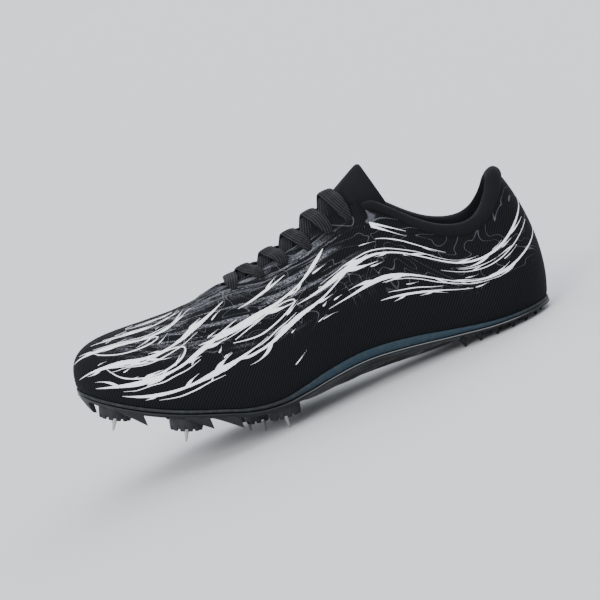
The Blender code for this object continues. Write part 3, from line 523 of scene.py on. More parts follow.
def knitGrain():  # small loops for padding, tongue and lining
    g = grainLook
    group, given, put = newGroup("knitGrain", (("Scale", 900.0), ("Fuzz", 0.5)), ("Height", "Shade"))
    uv = uvNode(group, "UVMap")
    loops = group.nodes.new("ShaderNodeTexVoronoi")
    loops.inputs["Randomness"].default_value = g["loopSpread"]
    group.links.new(uv, loops.inputs["Vector"])
    group.links.new(given.outputs["Scale"], loops.inputs["Scale"])
    fuzz = mathNode(group, "MULTIPLY", noiseNode(group, uv, g["knitFuzz"], 3.0, 0.6), given.outputs["Fuzz"])
    height = mathNode(group, "SUBTRACT", fuzz, loops.outputs["Distance"])
    return putOut(group, put, Height=height, Shade=noiseNode(group, uv, g["cloud"], 3.0, 0.6))


def braidGrain():  # plaited threads along a lace: X across, Y along, in metres
    g = grainLook
    group, given, put = newGroup("braidGrain", (("Plait", 0.0017), ("Cords", 0.0016)), ("Height", "Shade"))
    uv = uvNode(group, "UVMap")
    split = splitNode(group, uv)
    saw = mathNode(group, "PINGPONG", mathNode(group, "DIVIDE", split["X"], given.outputs["Cords"]), 0.5)
    turns = mathNode(group, "DIVIDE", split["Y"], given.outputs["Plait"])
    plait = waveNode(group, mathNode(group, "MULTIPLY_ADD", saw, g["lean"], turns))
    fuzz = noiseNode(group, uv, g["braidFuzz"], 3.0, 0.6)
    threads = mathNode(group, "MULTIPLY", plait, 0.5)
    threads = mathNode(group, "MULTIPLY_ADD", fuzz, g["fuzzDepth"], threads)
    height = mathNode(group, "MULTIPLY_ADD", saw, g["crown"], threads)
    # The shade is lighter on the cord crests, where the height is greatest, than in the grooves: painted
    # highlight on the cords and painted shade between them.
    crest = mathNode(group, "POWER", mathNode(group, "MULTIPLY", saw, 2.0), g["sharpCrest"])
    crest = mathNode(group, "MULTIPLY", crest, g["crestHighlightShare"])
    shade = mathNode(group, "MULTIPLY_ADD", plait, 1 - g["crestHighlightShare"], crest)
    return putOut(group, put, Height=height, Shade=shade)


groups = {"ribWeave": ribWeave(), "knitGrain": knitGrain(), "braidGrain": braidGrain()}


def finish(name, color, roughness, metallic=0.0, coat=0.0, coatRoughness=0.1, sheen=0.0, specular=0.5):
    material = bpy.data.materials.new(name)
    material.use_nodes = True
    tree = material.node_tree
    shader = tree.nodes["Principled BSDF"]
    for label, value in (("Base Color", color), ("Roughness", roughness), ("Metallic", metallic),
                         ("Coat Weight", coat), ("Coat Roughness", coatRoughness), ("Sheen Weight", sheen),
                         ("Sheen Roughness", 0.45), ("Specular IOR Level", specular)):
        feed(tree, shader.inputs[label], value)
    return material, tree, shader


def useGroup(tree, name, **values):
    node = tree.nodes.new("ShaderNodeGroup")
    node.node_tree = groups[name]
    for label, value in values.items():
        node.inputs[label].default_value = value
    return node


def addBump(tree, shader, height, distance):
    bump = tree.nodes.new("ShaderNodeBump")
    bump.inputs["Strength"].default_value = 1.0
    bump.inputs["Distance"].default_value = distance
    tree.links.new(height, bump.inputs["Height"])
    tree.links.new(bump.outputs["Normal"], shader.inputs["Normal"])


textileLook = {
    # The lighter rib colour is a painted highlight on the rib tops.
    "black": (0.0024, 0.0028, 0.0033), "ribTopHighlight": (0.0085, 0.0094, 0.0112),
    "wash": (0.26, 0.27, 0.30), "line": (0.10, 0.105, 0.12),
    "pitch": 0.0016, "slant": 0.75, "relief": 0.00022, "apart": 14.0,
    "stretch": ((4.0, 1.0, 1.0), 0.25), "streaky": ((3.0, 9.0, 1.0), -0.30),
    # Noises: scale, detail, roughness, distortion.
    "brush": (3.2, 5.0, 0.62, 0.6), "speck": (210.0, 3.0, 0.7), "slow": (2.6, 1.5, 0.5, 0.9),
    "cloud": (5.5, 4.0, 0.6, 0.8),
    # Where each grey effect fades in, and how strong it is. Sole and Top are shares up the side,
    # Heel and Toe shares of the way to the toe, the others levels of a noise.
    "washSole": (0.34, 0.52), "washTop": (0.97, 0.86), "washHeel": (0.30, 0.42), "washToe": (0.93, 0.80),
    "washBrush": (0.50, 0.62), "washSpeck": (0.44, 0.58), "washDepth": 0.85,
    "lineSole": (0.30, 0.45), "lineSpeck": (0.35, 0.45), "lineEdge": (0.035, 0.012),
    "lineTurns": 9.0, "lineDepth": 0.75,
    "smearSole": (0.74, 0.86), "smearHeel": (0.36, 0.42), "smearToe": (0.68, 0.62),
    "smearCloud": (0.50, 0.66), "smearDepth": 0.6,
}


def mappingNode(tree, vector, scale, turn):
    node = tree.nodes.new("ShaderNodeMapping")
    node.inputs["Scale"].default_value = scale
    node.inputs["Rotation"].default_value = (0.0, 0.0, turn)
    tree.links.new(vector, node.inputs["Vector"])
    return node.outputs[0]


def textileFinish():
    look = textileLook
    material, tree, shader = finish("ribbedTextile", look["black"], 0.80, specular=0.09)
    weave = useGroup(tree, "ribWeave", Pitch=look["pitch"], Slant=look["slant"])
    uv = uvNode(tree, "printMap")  # X: 0 heel to 1 toe, Y: 0 sole to 1 top
    split = splitNode(tree, uv)
    along, up = split["X"], split["Y"]
    # The place across the shoe goes in as a third axis, so that the two sides differ.
    across = mathNode(tree, "MULTIPLY", splitNode(tree, objectPlace(tree))["Y"], look["apart"])
    apart = tree.nodes.new("ShaderNodeCombineXYZ")
    for index, value in enumerate((along, up, across)):
        tree.links.new(value, apart.inputs[index])
    stretch = mappingNode(tree, apart.outputs[0], *look["stretch"])
    streaky = mappingNode(tree, apart.outputs[0], *look["streaky"])
    # Dry grey wash: broken streaks and speckles in a band from the lace stay to toe and heel.
    brush = noiseNode(tree, streaky, *look["brush"])
    speck = noiseNode(tree, uv, *look["speck"])
    wash = fadeNode(tree, (brush, look["washBrush"]), (speck, look["washSpeck"]), (up, look["washSole"]),
                    (up, look["washTop"]), (along, look["washHeel"]), (along, look["washToe"]))
    # Thin grey contour lines where a slow noise crosses its middle.
    slow = noiseNode(tree, stretch, *look["slow"])
    turns = mathNode(tree, "PINGPONG", mathNode(tree, "MULTIPLY", slow, look["lineTurns"]), 0.5)
    lines = fadeNode(tree, (turns, look["lineEdge"]), (up, look["lineSole"]), (speck, look["lineSpeck"]))
    # A smear of the wash along the lace stay.
    cloud = noiseNode(tree, streaky, *look["cloud"])
    smear = fadeNode(tree, (cloud, look["smearCloud"]), (up, look["smearSole"]),
                     (along, look["smearHeel"]), (along, look["smearToe"]))
    # The rib tops are painted lighter than the black between them: a painted highlight on the ribs.
    color = mixColor(tree, weave.outputs["Rib"], look["black"], look["ribTopHighlight"])
    for mask, depth, tone in ((lines, "lineDepth", "line"), (wash, "washDepth", "wash"),
                              (smear, "smearDepth", "wash")):
        color = mixColor(tree, mathNode(tree, "MULTIPLY", mask, look[depth]), color, look[tone])
    tree.links.new(color, shader.inputs["Base Color"])
    addBump(tree, shader, weave.outputs["Height"], look["relief"])
    return material


def paddingFinish(name, color, lighter, scale, relief):
    material, tree, shader = finish(name, color, 0.88, sheen=0.02, specular=0.10)
    knit = useGroup(tree, "knitGrain", Scale=scale)
    shade = mixColor(tree, knit.outputs["Shade"], color, lighter)
    tree.links.new(shade, shader.inputs["Base Color"])
    addBump(tree, shader, knit.outputs["Height"], relief)
    return material


# The groove colour is painted shade between the cords; the crest colour is a painted highlight on them.
braidLook = {"color": (0.008, 0.009, 0.011), "groove": (0.0026, 0.0030, 0.0036),
             "crest": (0.0330, 0.0350, 0.0390), "relief": 0.00022}


def braidFinish():
    look = braidLook
    material, tree, shader = finish("laceBraid", look["color"], 0.80, sheen=0.012, specular=0.12)
    braid = useGroup(tree, "braidGrain")
    # The braid's colour runs from painted shade in the grooves to a painted highlight on the cord crests.
    shade = mixColor(tree, braid.outputs["Shade"], look["groove"], look["crest"])
    tree.links.new(shade, shader.inputs["Base Color"])
    addBump(tree, shader, braid.outputs["Height"], look["relief"])
    return material


paddingRows = (  # name, colour, lighter colour, loops per metre, relief
    ("collarPadding", (0.0040, 0.0043, 0.0050), (0.0095, 0.0100, 0.0115), 1150.0, 0.00012),
    ("tongueKnit", (0.0046, 0.0050, 0.0058), (0.0120, 0.0128, 0.0145), 850.0, 0.00020),
    ("innerLining", (0.016, 0.017, 0.018), (0.028, 0.029, 0.031), 700.0, 0.00018),
    ("insoleCloth", (0.024, 0.025, 0.027), (0.042, 0.043, 0.046), 600.0, 0.00020),
)


textile = textileFinish()
padding, tongueKnit, lining, sockCloth = [paddingFinish(*row) for row in paddingRows]
braid = braidFinish()
printInk = finish("printWhite", (0.90, 0.92, 0.96), 0.45, coat=0.15, coatRoughness=0.3)[0]
steel = finish("turnedSteel", (0.50, 0.495, 0.485), 0.24, metallic=1.0)[0]
print("finishes ready")


# Upper: one shell with a wall, by rays round the last.
upperShape = {
    "levels": 40, "rim": 0.00035, "fade": 0.15,
    "counts": {"heel": 20, "collar": 14, "facing": 40, "nose": 8, "vamp": 8, "toe": 26},
}
# Soft troughs: side, both ends (share of the way to the toe, share up), reach and depth in mm.
creaseRows = (
    (-1, 0.66, 0.92, 0.70, 0.55, 4.0, 0.55), (-1, 0.71, 0.90, 0.745, 0.62, 3.2, 0.40),
    (-1, 0.60, 0.66, 0.64, 0.40, 4.5, 0.40), (-1, 0.33, 0.80, 0.40, 0.52, 6.0, 0.50),
    (1, 0.66, 0.92, 0.71, 0.50, 4.0, 0.60), (1, 0.34, 0.80, 0.42, 0.50, 6.0, 0.50),
    (-1, 0.05, 0.42, 0.20, 0.30, 5.0, 0.35), (1, 0.05, 0.42, 0.22, 0.30, 5.0, 0.35),
)
paper = Vector((300.0, 75.0, 0.0))  # the side laid flat: millimetres for a whole share


def flatSpot(a, w):
    return Vector((a * paper.x, w * paper.y, 0))


def dent(side, a, w):  # depth of the creases at a place
    spot, fade = flatSpot(a, w), upperShape["fade"]
    deep = 0.0
    for onSide, a0, w0, a1, w1, reach, depth in creaseRows:
        if onSide != side:
            continue
        start = flatSpot(a0, w0)
        way = flatSpot(a1, w1) - start
        along = max(0.0, min(1.0, (spot - start).dot(way) / way.length_squared))
        far = (spot - start - way * along).length / reach
        deep += depth * math.exp(-far * far) * math.sin(math.pi * mix(fade, 1 - fade, along))
    return deep * mm


def footArcs(side):  # share of the feather line's length walked at each s
    steps = 180
    walk = walkAlong([rayAt(side, 3.0 * k / steps)["foot"] for k in range(steps + 1)])
    return [w / walk[-1] for w in walk]


arcs = {side: footArcs(side) for side in (-1, 1)}


def sAt(side, a):  # the s where that share of the feather line is walked
    table = arcs[side]
    low, high = 0, len(table) - 1
    while high - low > 1:
        middle = (low + high) // 2
        if table[middle] > a:
            high = middle
        else:
            low = middle
    span = max(1e-9, table[high] - table[low])
    return 3.0 * (low + max(0.0, min(1.0, (a - table[low]) / span))) / (len(table) - 1)


def walkUp(ray, steps=28):  # metres walked up a ray at even steps of t, from 0 to its cover
    return walkAlong([bezier(ray["points"], ray["cover"] * k / steps) for k in range(steps + 1)])


def shareUp(ray, walk, t):  # share of the way up at t, over 1 past the cover
    steps = len(walk) - 1
    place = t / ray["cover"] * steps
    k = min(steps - 1, int(place))
    return mix(walk[k], walk[k + 1], place - k) / walk[-1]


def stepUp(ray, walk, w):  # the t where the share of the way up is w
    want = w * walk[-1]
    k = 0
    while k < len(walk) - 2 and walk[k + 1] < want:
        k += 1
    return ray["cover"] * (k + (want - walk[k]) / (walk[k + 1] - walk[k])) / (len(walk) - 1)


def facingLift(ray, t):  # the stay round the throat stands a little proud
    inFront = last["throatFront"] + last["facingWidth"] / last["length"]
    if ray["collar"] or ray["share"] > inFront:
        return 0.0
    span = (ray["points"][3] - ray["points"][0]).length
    edge = ray["end"] - last["facingWidth"] / span
    return last["facingStep"] * ease((t - edge + last["facingEase"] / 2) / last["facingEase"])


def footArcOf(rays):  # metres walked along the feather line, ray by ray
    feet = [ray["foot"] for ray in rays]
    return walkAlong(feet + feet[:1])


def makeUpper():
    u = upperShape
    rays = roundShoe(u["counts"])
    walk = footArcOf(rays)
    halfWay = walk[max(range(len(rays)), key=lambda k: -rays[k]["foot"].x)]
    levels = [k / u["levels"] for k in range(u["levels"] + 1)]
    vertices, marks, spots = [], [], []
    for k, ray in enumerate(rays):
        a = walk[k] / halfWay if walk[k] <= halfWay else (walk[-1] - walk[k]) / (walk[-1] - halfWay)
        climb = walkUp(ray)
        outer, inner, up = [], [], 0.0
        for n, level in enumerate(levels):
            t = level * ray["end"]
            place, normal = rayFrame(ray, t)[:2]
            w = shareUp(ray, climb, t)
            lift = facingLift(ray, t) - dent(ray["side"], a, w)
            rim = u["rim"] if n in (0, u["levels"]) else 0.0
            outer.append(place + normal * (lift - rim))
            inner.append(place + normal * (lift / 2 - last["wall"] + rim))
            if n:
                up += (outer[-1] - outer[-2]).length
            marks.append((up, w))
        vertices += outer + inner[::-1]
        spots.append(a)
    count = 2 * len(levels)
    faces, uvs, prints, parts = [], [], [], []
    for k in range(len(rays)):
        m = (k + 1) % len(rays)
        for j in range(count):
            n = (j + 1) % count
            faces.append((k * count + j, m * count + j, m * count + n, k * count + n))
            parts.append(0 if j < len(levels) else 1)
            uv, ink = [], []
            for ray, column, along in ((k, j, k), (m, j, k + 1), (m, n, k + 1), (k, n, k)):
                level = column if column < len(levels) else count - 1 - column
                up, w = marks[ray * len(levels) + level]
                uv.append((walk[along], up))
                ink.append((spots[ray], w))
            uvs.append(uv)
            prints.append(ink)
    upper = newPiece("upperShell", vertices, faces, [textile, lining], ["upper"], uvs,
                     prints, parts)
    punchHoles(upper)
    return upper


holeLook = {"radius": 0.0019, "inset": 0.0062, "punch": 0.009, "sides": 20,
            "shares": (0.616, 0.556, 0.500, 0.445, 0.393, 0.347)}


def holeFrame(share, side):
    return rayAtDepth(acrossRay(share, side), holeLook["inset"])


def punchHoles(upper):
    bm = bmesh.new()
    for side in (-1, 1):
        for share in holeLook["shares"]:
            place, normal = holeFrame(share, side)
            turn = Matrix.Translation(place + shift) @ normal.to_track_quat("Z", "Y").to_matrix().to_4x4()
            bmesh.ops.create_cone(bm, cap_ends=True, segments=holeLook["sides"], radius1=holeLook["radius"],
                                  radius2=holeLook["radius"], depth=holeLook["punch"], matrix=turn)
    mesh = bpy.data.meshes.new("punch")
    bm.to_mesh(mesh)
    bm.free()
    punch = linkObject("punch", mesh)
    cut = upper.modifiers.new("holes", "BOOLEAN")
    cut.solver = "EXACT"
    cut.object = punch
    bpy.context.view_layer.update()
    cutMesh = bpy.data.meshes.new_from_object(upper.evaluated_get(bpy.context.evaluated_depsgraph_get()))
    upper.modifiers.clear()
    upper.data = cutMesh
    bpy.data.objects.remove(punch)


upper = makeUpper()
print("upper made", len(upper.data.polygons))


# White print: tapered branching streaks in a layout of their own.
printLook = {
    "lift": 0.00014, "edge": 0.00006, "under": 0.00014, "sink": 0.0004,  # metres
    "step": 1.5, "cuts": 14, "seed": 41, "stations": 320, "soften": 13, "levels": 64,
    # Shares up that stay free of ink, and where they narrow in front of the throat.
    "margin": 0.012, "stay": 0.13, "stayEnd": 0.65, "stayRun": 0.05, "thinOut": 0.05, "dive": 0.4,
    "ragged": 0.20, "raggedScale": 0.45, "thinnest": 0.03, "narrowest": 0.12, "drift": 0.03,
    # Ranges of the random draws, in mm and radians or as shares.
    "hairGap": (2.0, 3.4), "hairStart": (0.1, 0.3), "hairLength": (0.35, 0.6), "hairWidth": 0.45,
    "hairWaver": 0.8, "hairFrom": 24, "loopGap": 6,
    "spurEvery": 13, "spurPlaces": (0.14, 0.86), "spurForward": 0.6, "spurTurn": (0.30, 0.58),
    "spurLength": (7, 17), "spurBend": (0.6, 1.3), "spurWidest": 2.2,
    "flecks": 90, "fleckPlaces": (0.08, 0.93), "fleckFront": (0.14, 0.84), "fleckBack": (0.34, 0.74),
    "fleckSlope": (0.6, 1.3), "fleckLength": (3, 10), "fleckWidth": (0.4, 1.1), "fleckBend": (-0.5, 0.5),
    "fleckLean": (0.05, 0.75),
}
# Strokes of one side: share of the way to the toe, share up the side, width in mm.
strokeRows = (
    ((0.985, 0.26, 0.2), (0.95, 0.36, 1.6), (0.90, 0.46, 3.3), (0.85, 0.52, 1.8), (0.79, 0.58, 1.1),
     (0.73, 0.68, 2.5), (0.68, 0.78, 1.0), (0.65, 0.85, 0.2)),
    ((0.96, 0.50, 0.2), (0.91, 0.60, 1.7), (0.86, 0.66, 2.7), (0.80, 0.73, 1.3), (0.74, 0.83, 0.8),
     (0.70, 0.88, 0.2)),
    ((0.95, 0.13, 0.2), (0.90, 0.24, 1.3), (0.84, 0.33, 3.3), (0.78, 0.39, 1.6), (0.72, 0.48, 1.1),
     (0.67, 0.58, 3.0), (0.62, 0.70, 1.3), (0.59, 0.78, 0.2)),
    ((0.90, 0.09, 0.2), (0.85, 0.14, 1.5), (0.79, 0.20, 2.7), (0.72, 0.30, 1.1), (0.66, 0.42, 2.3),
     (0.61, 0.54, 0.9), (0.58, 0.60, 0.2)),
    ((0.92, 0.77, 0.2), (0.87, 0.79, 1.4), (0.82, 0.85, 1.9), (0.77, 0.92, 0.2)),
    ((0.84, 0.07, 0.2), (0.78, 0.10, 1.7), (0.71, 0.17, 1.2), (0.64, 0.27, 2.5), (0.58, 0.36, 0.8),
     (0.54, 0.42, 0.2)),
    ((0.66, 0.46, 0.2), (0.61, 0.51, 2.1), (0.55, 0.58, 3.3), (0.50, 0.62, 1.5), (0.45, 0.68, 1.0),
     (0.41, 0.77, 2.1), (0.38, 0.85, 0.2)),
    ((0.60, 0.32, 0.2), (0.54, 0.37, 1.5), (0.48, 0.45, 2.5), (0.42, 0.50, 1.0), (0.36, 0.60, 0.7),
     (0.32, 0.66, 0.2)),
    ((0.57, 0.68, 0.2), (0.52, 0.74, 1.5), (0.47, 0.80, 0.2)),
    ((0.47, 0.54, 0.2), (0.42, 0.56, 1.6), (0.37, 0.60, 3.1), (0.31, 0.65, 1.2), (0.24, 0.68, 0.9),
     (0.17, 0.66, 1.3), (0.10, 0.68, 1.9), (0.04, 0.75, 1.1), (0.0, 0.82, 0.2)),
    ((0.42, 0.40, 0.2), (0.37, 0.42, 1.0), (0.31, 0.47, 2.5), (0.25, 0.49, 1.1), (0.18, 0.46, 0.8),
     (0.11, 0.45, 1.8), (0.05, 0.49, 0.9), (0.01, 0.55, 0.2)),
    ((0.33, 0.31, 0.2), (0.28, 0.33, 1.2), (0.22, 0.37, 0.8), (0.17, 0.38, 0.2)),
    ((0.40, 0.87, 0.2), (0.36, 0.905, 1.6), (0.31, 0.90, 2.3), (0.27, 0.89, 1.0), (0.24, 0.90, 0.2)),
    ((0.21, 0.57, 0.2), (0.14, 0.56, 0.7), (0.08, 0.60, 0.6), (0.03, 0.66, 0.2)),
    ((0.30, 0.77, 0.2), (0.25, 0.79, 0.8), (0.19, 0.77, 0.2)),
    ((0.87, 0.27, 0.3), (0.83, 0.22, 0.8), (0.77, 0.25, 0.7), (0.71, 0.36, 1.0), (0.69, 0.46, 0.8),
     (0.73, 0.45, 0.7), (0.79, 0.35, 0.8), (0.86, 0.285, 0.3)),
    ((0.94, 0.42, 0.3), (0.90, 0.39, 0.7), (0.84, 0.42, 0.7), (0.78, 0.51, 0.9), (0.76, 0.58, 0.7),
     (0.81, 0.56, 0.6), (0.88, 0.52, 0.7), (0.935, 0.44, 0.3)),
    ((0.60, 0.44, 0.3), (0.55, 0.45, 0.7), (0.50, 0.51, 0.7), (0.47, 0.58, 0.8), (0.50, 0.60, 0.6),
     (0.55, 0.54, 0.6), (0.595, 0.46, 0.3)),
)


def runningMean(numbers, reach):
    top = len(numbers) - 1
    spans = [[numbers[max(0, min(top, k + n))] for n in range(-reach, reach + 1)] for k in range(top + 1)]
    return [sum(span) / len(span) for span in spans]


def inkSkin():  # places and ways out over both sides, by share along and share up
    g = printLook
    skin = {}
    for side in (-1, 1):
        rows = []
        for k in range(g["stations"] + 1):
            a = k / g["stations"]
            ray = rayAt(side, sAt(side, a))
            climb = walkUp(ray)
            stay = g["margin"] if ray["collar"] else g["stay"]
            if ray["share"] > last["throatFront"]:
                stay = mix(g["stay"], g["margin"], ease((ray["share"] - g["stayEnd"]) / g["stayRun"]))
            brim = shareUp(ray, climb, ray["end"] - stay)
            places = []
            for j in range(g["levels"] + 1):
                w = j / g["levels"]
                t = stepUp(ray, climb, w)
                place, normal = rayFrame(ray, t)[:2]
                places.append((place + normal * (facingLift(ray, t) - dent(side, a, w)), normal))
            rows.append((brim, places, climb[-1]))
        tall = rounded = [row[2] for row in rows]
        for _ in range(2):
            rounded = runningMean(rounded, g["soften"])
        skin[side] = [(row[0], row[1], soft / high) for row, soft, high in zip(rows, rounded, tall)]
    return skin


skin = inkSkin()


def inkPlace(side, spot):  # side, station, share past it, share up, brim, from flat millimetres
    a = spot.x / paper.x
    if a < 0:
        a, side = -a, -side
    if a > 1:
        a, side = 2 - a, -side
    along = a * printLook["stations"]
    k = min(printLook["stations"] - 1, int(along))
    near, far = skin[side][k], skin[side][k + 1]
    even = mix(near[2], far[2], along - k)  # rounds the corner where the collar ends
    return side, k, along - k, spot.y / paper.y * even, mix(near[0], far[0], along - k)


def inkPoint(side, spot, lift):
    side, k, past, w, brim = inkPlace(side, spot)
    up = max(0.01, min(w, brim, 1.0)) * printLook["levels"]
    j = min(printLook["levels"] - 1, int(up))
    rows = skin[side][k][1], skin[side][k + 1][1]
    corners = [mix(row[j][0], row[j + 1][0], up - j) for row in rows]
    return mix(corners[0], corners[1], past) + rows[0][j][1] * lift


def layStroke(build, side, spots, widths):  # a raised ribbon of ink; it thins out at the stay
    g = printLook
    first = len(build["vertices"])
    for k, spot in enumerate(spots):
        ahead = (spots[min(k + 1, len(spots) - 1)] - spots[max(k - 1, 0)]).normalized()
        across = Vector((-ahead.y, ahead.x, 0))
        w, brim = inkPlace(side, spot)[3:]
        room = ease((brim - w) / g["thinOut"])
        ragged = 1 + g["ragged"] * noise.noise(spot * g["raggedScale"])
        half = max(g["thinnest"], widths[k] / 2 * ragged * room)
        sunk = g["sink"] * (1 - ease(room / g["dive"]))
        for aside, lift in ((-half, g["edge"]), (0, g["lift"]), (half, g["edge"]), (half, -g["under"]),
                            (-half, -g["under"])):
            build["vertices"].append(inkPoint(side, spot + across * aside, lift - sunk))
    build["faces"] += ringFaces(len(spots), 5, first)


def evenly(points, step):  # the same line with even steps
    out = [points[0].copy()]
    need = step
    for a, b in zip(points, points[1:]):
        span = (b.xy - a.xy).length
        walked = 0.0
        while span - walked >= need:
            walked += need
            out.append(a + (b - a) * (walked / span))
            need = step
        need -= span - walked
    out.append(points[-1].copy())
    return out


def growSpur(build, side, start, heading, length, width, bend):  # wide at its root, sharp at its tip
    steps = max(5, int(length / printLook["step"]))
    spots, widths = [start.copy()], []
    for k in range(steps):
        heading += bend / steps
        spots.append(spots[-1] + Vector((math.cos(heading), math.sin(heading), 0)) * (length / steps))
    for k in range(steps + 1):
        u = k / steps
        widths.append(width * (1 - u) ** 0.7 * (0.55 + 0.75 * math.sin(math.pi * min(1.0, u * 1.6))))
    layStroke(build, side, spots, widths)


def layHair(build, dice, side, spots):  # a hairline beside a stroke
    g = printLook
    gap = dice.choice((-1, 1)) * dice.uniform(*g["hairGap"])
    start = int(len(spots) * dice.uniform(*g["hairStart"]))
    piece = spots[start:start + int(len(spots) * dice.uniform(*g["hairLength"]))]
    hair = [p + Vector((0.2 * gap, gap + g["hairWaver"] * noise.noise(p * 0.08), 0)) for p in piece]
    widths = [g["hairWidth"] * math.sin(math.pi * (k + 0.5) / len(hair)) + g["narrowest"]
              for k in range(len(hair))]
    layStroke(build, side, hair, widths)


def laySpurs(build, dice, side, spots, widths):  # twigs that leave a stroke at both sides
    g = printLook
    count = max(1, int(len(spots) / g["spurEvery"]))
    for n in range(count):
        at = int(mix(*g["spurPlaces"], (n + dice.uniform(0.2, 0.8)) / count) * (len(spots) - 1))
        ahead = spots[min(at + 1, len(spots) - 1)] - spots[max(at - 1, 0)]
        way = 0.0 if dice.random() < g["spurForward"] else math.pi
        turn = dice.choice((-1, 1)) * dice.uniform(*g["spurTurn"])
        heading = math.atan2(ahead.y, ahead.x) + way + turn
        length = dice.uniform(*g["spurLength"]) * (0.7 + widths[at] / 4)
        growSpur(build, side, spots[at], heading, length, min(g["spurWidest"], 0.5 + widths[at] * 0.6),
                 -turn * dice.uniform(*g["spurBend"]))


def makePrint():
    g = printLook
    build = {"vertices": [], "faces": []}
    dice = random.Random(g["seed"])
    for side in (-1, 1):
        for number, row in enumerate(strokeRows):
            keys = []
            for a, w, width in row:  # the medial side has the same strokes with some drift
                drift = 0.0 if side < 0 else g["drift"] * math.sin(9 * a + number)
                keys.append(Vector((a * paper.x, (w + drift) * paper.y, width)))
            line = evenly(smoothLine(keys, g["cuts"]), g["step"])
            spots = [Vector((p.x, p.y, 0)) for p in line]
            widths = [max(g["narrowest"], p.z) for p in line]
            layStroke(build, side, spots, widths)
            if (spots[0] - spots[-1]).length < g["loopGap"]:  # a loop stays without twigs
                continue
            if len(spots) > g["hairFrom"]:
                layHair(build, dice, side, spots)
            laySpurs(build, dice, side, spots, widths)
    for n in range(g["flecks"]):  # loose flecks that follow the flow
        side = -1 if n % 2 else 1
        a = dice.uniform(*g["fleckPlaces"])
        slope = mix(*g["fleckLean"], ease((a - 0.3) / 0.4)) * dice.uniform(*g["fleckSlope"])
        start = flatSpot(a, dice.uniform(*g["fleckFront" if a > 0.5 else "fleckBack"]))
        growSpur(build, side, start, math.pi - slope, dice.uniform(*g["fleckLength"]),
                 dice.uniform(*g["fleckWidth"]), dice.uniform(*g["fleckBend"]))
    return newPiece("whitePrint", build["vertices"], build["faces"], printInk)


whitePrint = makePrint()
print("print made", len(whitePrint.data.polygons))


# Padded collar.
collarLook = {
    "roll": 0.0066, "pad": 0.0046, "proud": 0.0016, "lining": 0.020, "gap": 0.0007, "cuts": 3,
    "sideCount": 34, "short": 0.003, "endSize": 0.55, "taperRows": 9, "ends": (0.25, 0.72, 0.93),
    "fill": 0.7,
}


def collarSection(ray, size):  # heights over the shell's edge with the distances out from the last
    c = collarLook
    inner = -last["wall"] - c["gap"]
    roll, deep = c["roll"] * size, c["pad"] * size
    profile = (
        (-0.0008, 0.00025), (0.0004, c["proud"] * 0.75), (roll * 0.45, c["proud"]), (roll * 0.88, 0.0001),
        (roll, -last["wall"] - deep * 0.35), (roll * 0.78, inner - deep * 0.90), (0.0, inner - deep),
        (-c["lining"] * 0.50, inner - deep * 0.72), (-c["lining"], inner - deep * 0.22),
        (-c["lining"], inner), (-c["lining"] * 0.50, inner), (0.0, inner), (0.0006, -last["wall"] * 0.5),
    )
    section = []
    for height, offset in profile:
        place, normal = rayAtDepth(ray, -height)
        section.append(place + normal * offset)
    return smoothLoop(section, c["cuts"])


def makeCollar():
    c = collarLook
    heel, count = upperShape["counts"]["heel"], c["sideCount"]
    sides = []
    for side in (-1, 1):
        rays = [heelRay(side, k / heel) for k in range(heel)]
        rays += [acrossRay(mix(last["heelTurn"], last["collarFront"] - c["short"], k / count), side)
                 for k in range(count + 1)]
        sides.append(rays)
    around = sides[0][::-1] + sides[1][1:]
    sections = []
    for k, ray in enumerate(around):
        fromEnd = min(k, len(around) - 1 - k)
        section = collarSection(ray, mix(c["endSize"], 1.0, ease(fromEnd / c["taperRows"])))
        if fromEnd < len(c["ends"]):  # rounded ends
            middle = sum(section, Vector()) / len(section)
            section = [middle + (point - middle) * c["ends"][fromEnd] for point in section]
        sections.append(section)
    vertices, faces, uvs = tubeGrid(sections)
    collar = newPiece("collarPad", vertices, faces, padding, ["collar"], uvs)


makeCollar()


# Tongue.
tongueLook = {
    "tip": 0.281, "split": 0.348, "front": 0.700, "root": 0.5, "thick": 0.0048, "thin": 0.0024,
    "tipHalf": 0.0126, "tipDrop": 0.0250, "tipTurn": 80.0, "ease": 2.5, "sweep": 0.005,
    "dip": 0.0009, "room": 0.0009, "highest": 0.9, "rowPoints": 5, "stations": 78, "cuts": 4,
    "puff": 0.0007, "puffPitch": 0.054, "puffLow": -0.6, "puffTip": 0.8, "tipRound": 0.004, "edgeRows": 4,
    "fill": 0.6,
}


def tongueLine(share):  # places and ways out across the tongue; past the split its free end curls
    g = tongueLook
    base = max(share, g["split"])
    under = last["wall"] + last["gap"] * 2 + g["room"]  # the lace runs in the room below the stays
    dip = g["dip"] if base < last["throatFront"] - last["throatNose"] / last["length"] else under
    halves = []
    for side in (-1, 1):
        ray = acrossRay(base, side)
        end = min(ray["end"], g["highest"])
        final = g["rowPoints"] - 1
        heights = [(mix(g["root"], end, k / final), under) for k in range(g["rowPoints"])]
        half = []
        for t, below in heights + [((end + 1) / 2, dip)]:
            place, normal = rayFrame(ray, t)[:2]
            half.append((place - normal * below, normal))
        halves.append(half)
    crown = rayFrame(acrossRay(base, -1), 1.0)[0]
    line = halves[0] + [(crown - Vector((0, 0, dip)), Vector((0, 0, 1)))] + halves[1][::-1]
    gone = max(0.0, g["split"] - share) / (g["split"] - g["tip"])
    eased = 1 - (1 - gone) ** g["ease"]
    turn = math.radians(g["tipTurn"])
    top = last["instepHeight"] * ridgeRise(share) - g["dip"]
    half = (len(line) - 1) / 2
    moved = []
    for k, (place, normal) in enumerate(line):
        angle = turn * (k - half) / half
        fall = (1 - math.cos(angle)) / (1 - math.cos(turn))
        arc = Vector((-share * last["length"] + g["sweep"] * fall * gone,
                      g["tipHalf"] * math.sin(angle) / math.sin(turn), top - g["tipDrop"] * fall))
        out = normal.lerp(Vector((0, math.sin(angle), math.cos(angle))), eased).normalized()
        moved.append((place.lerp(arc, eased), out))
    return moved


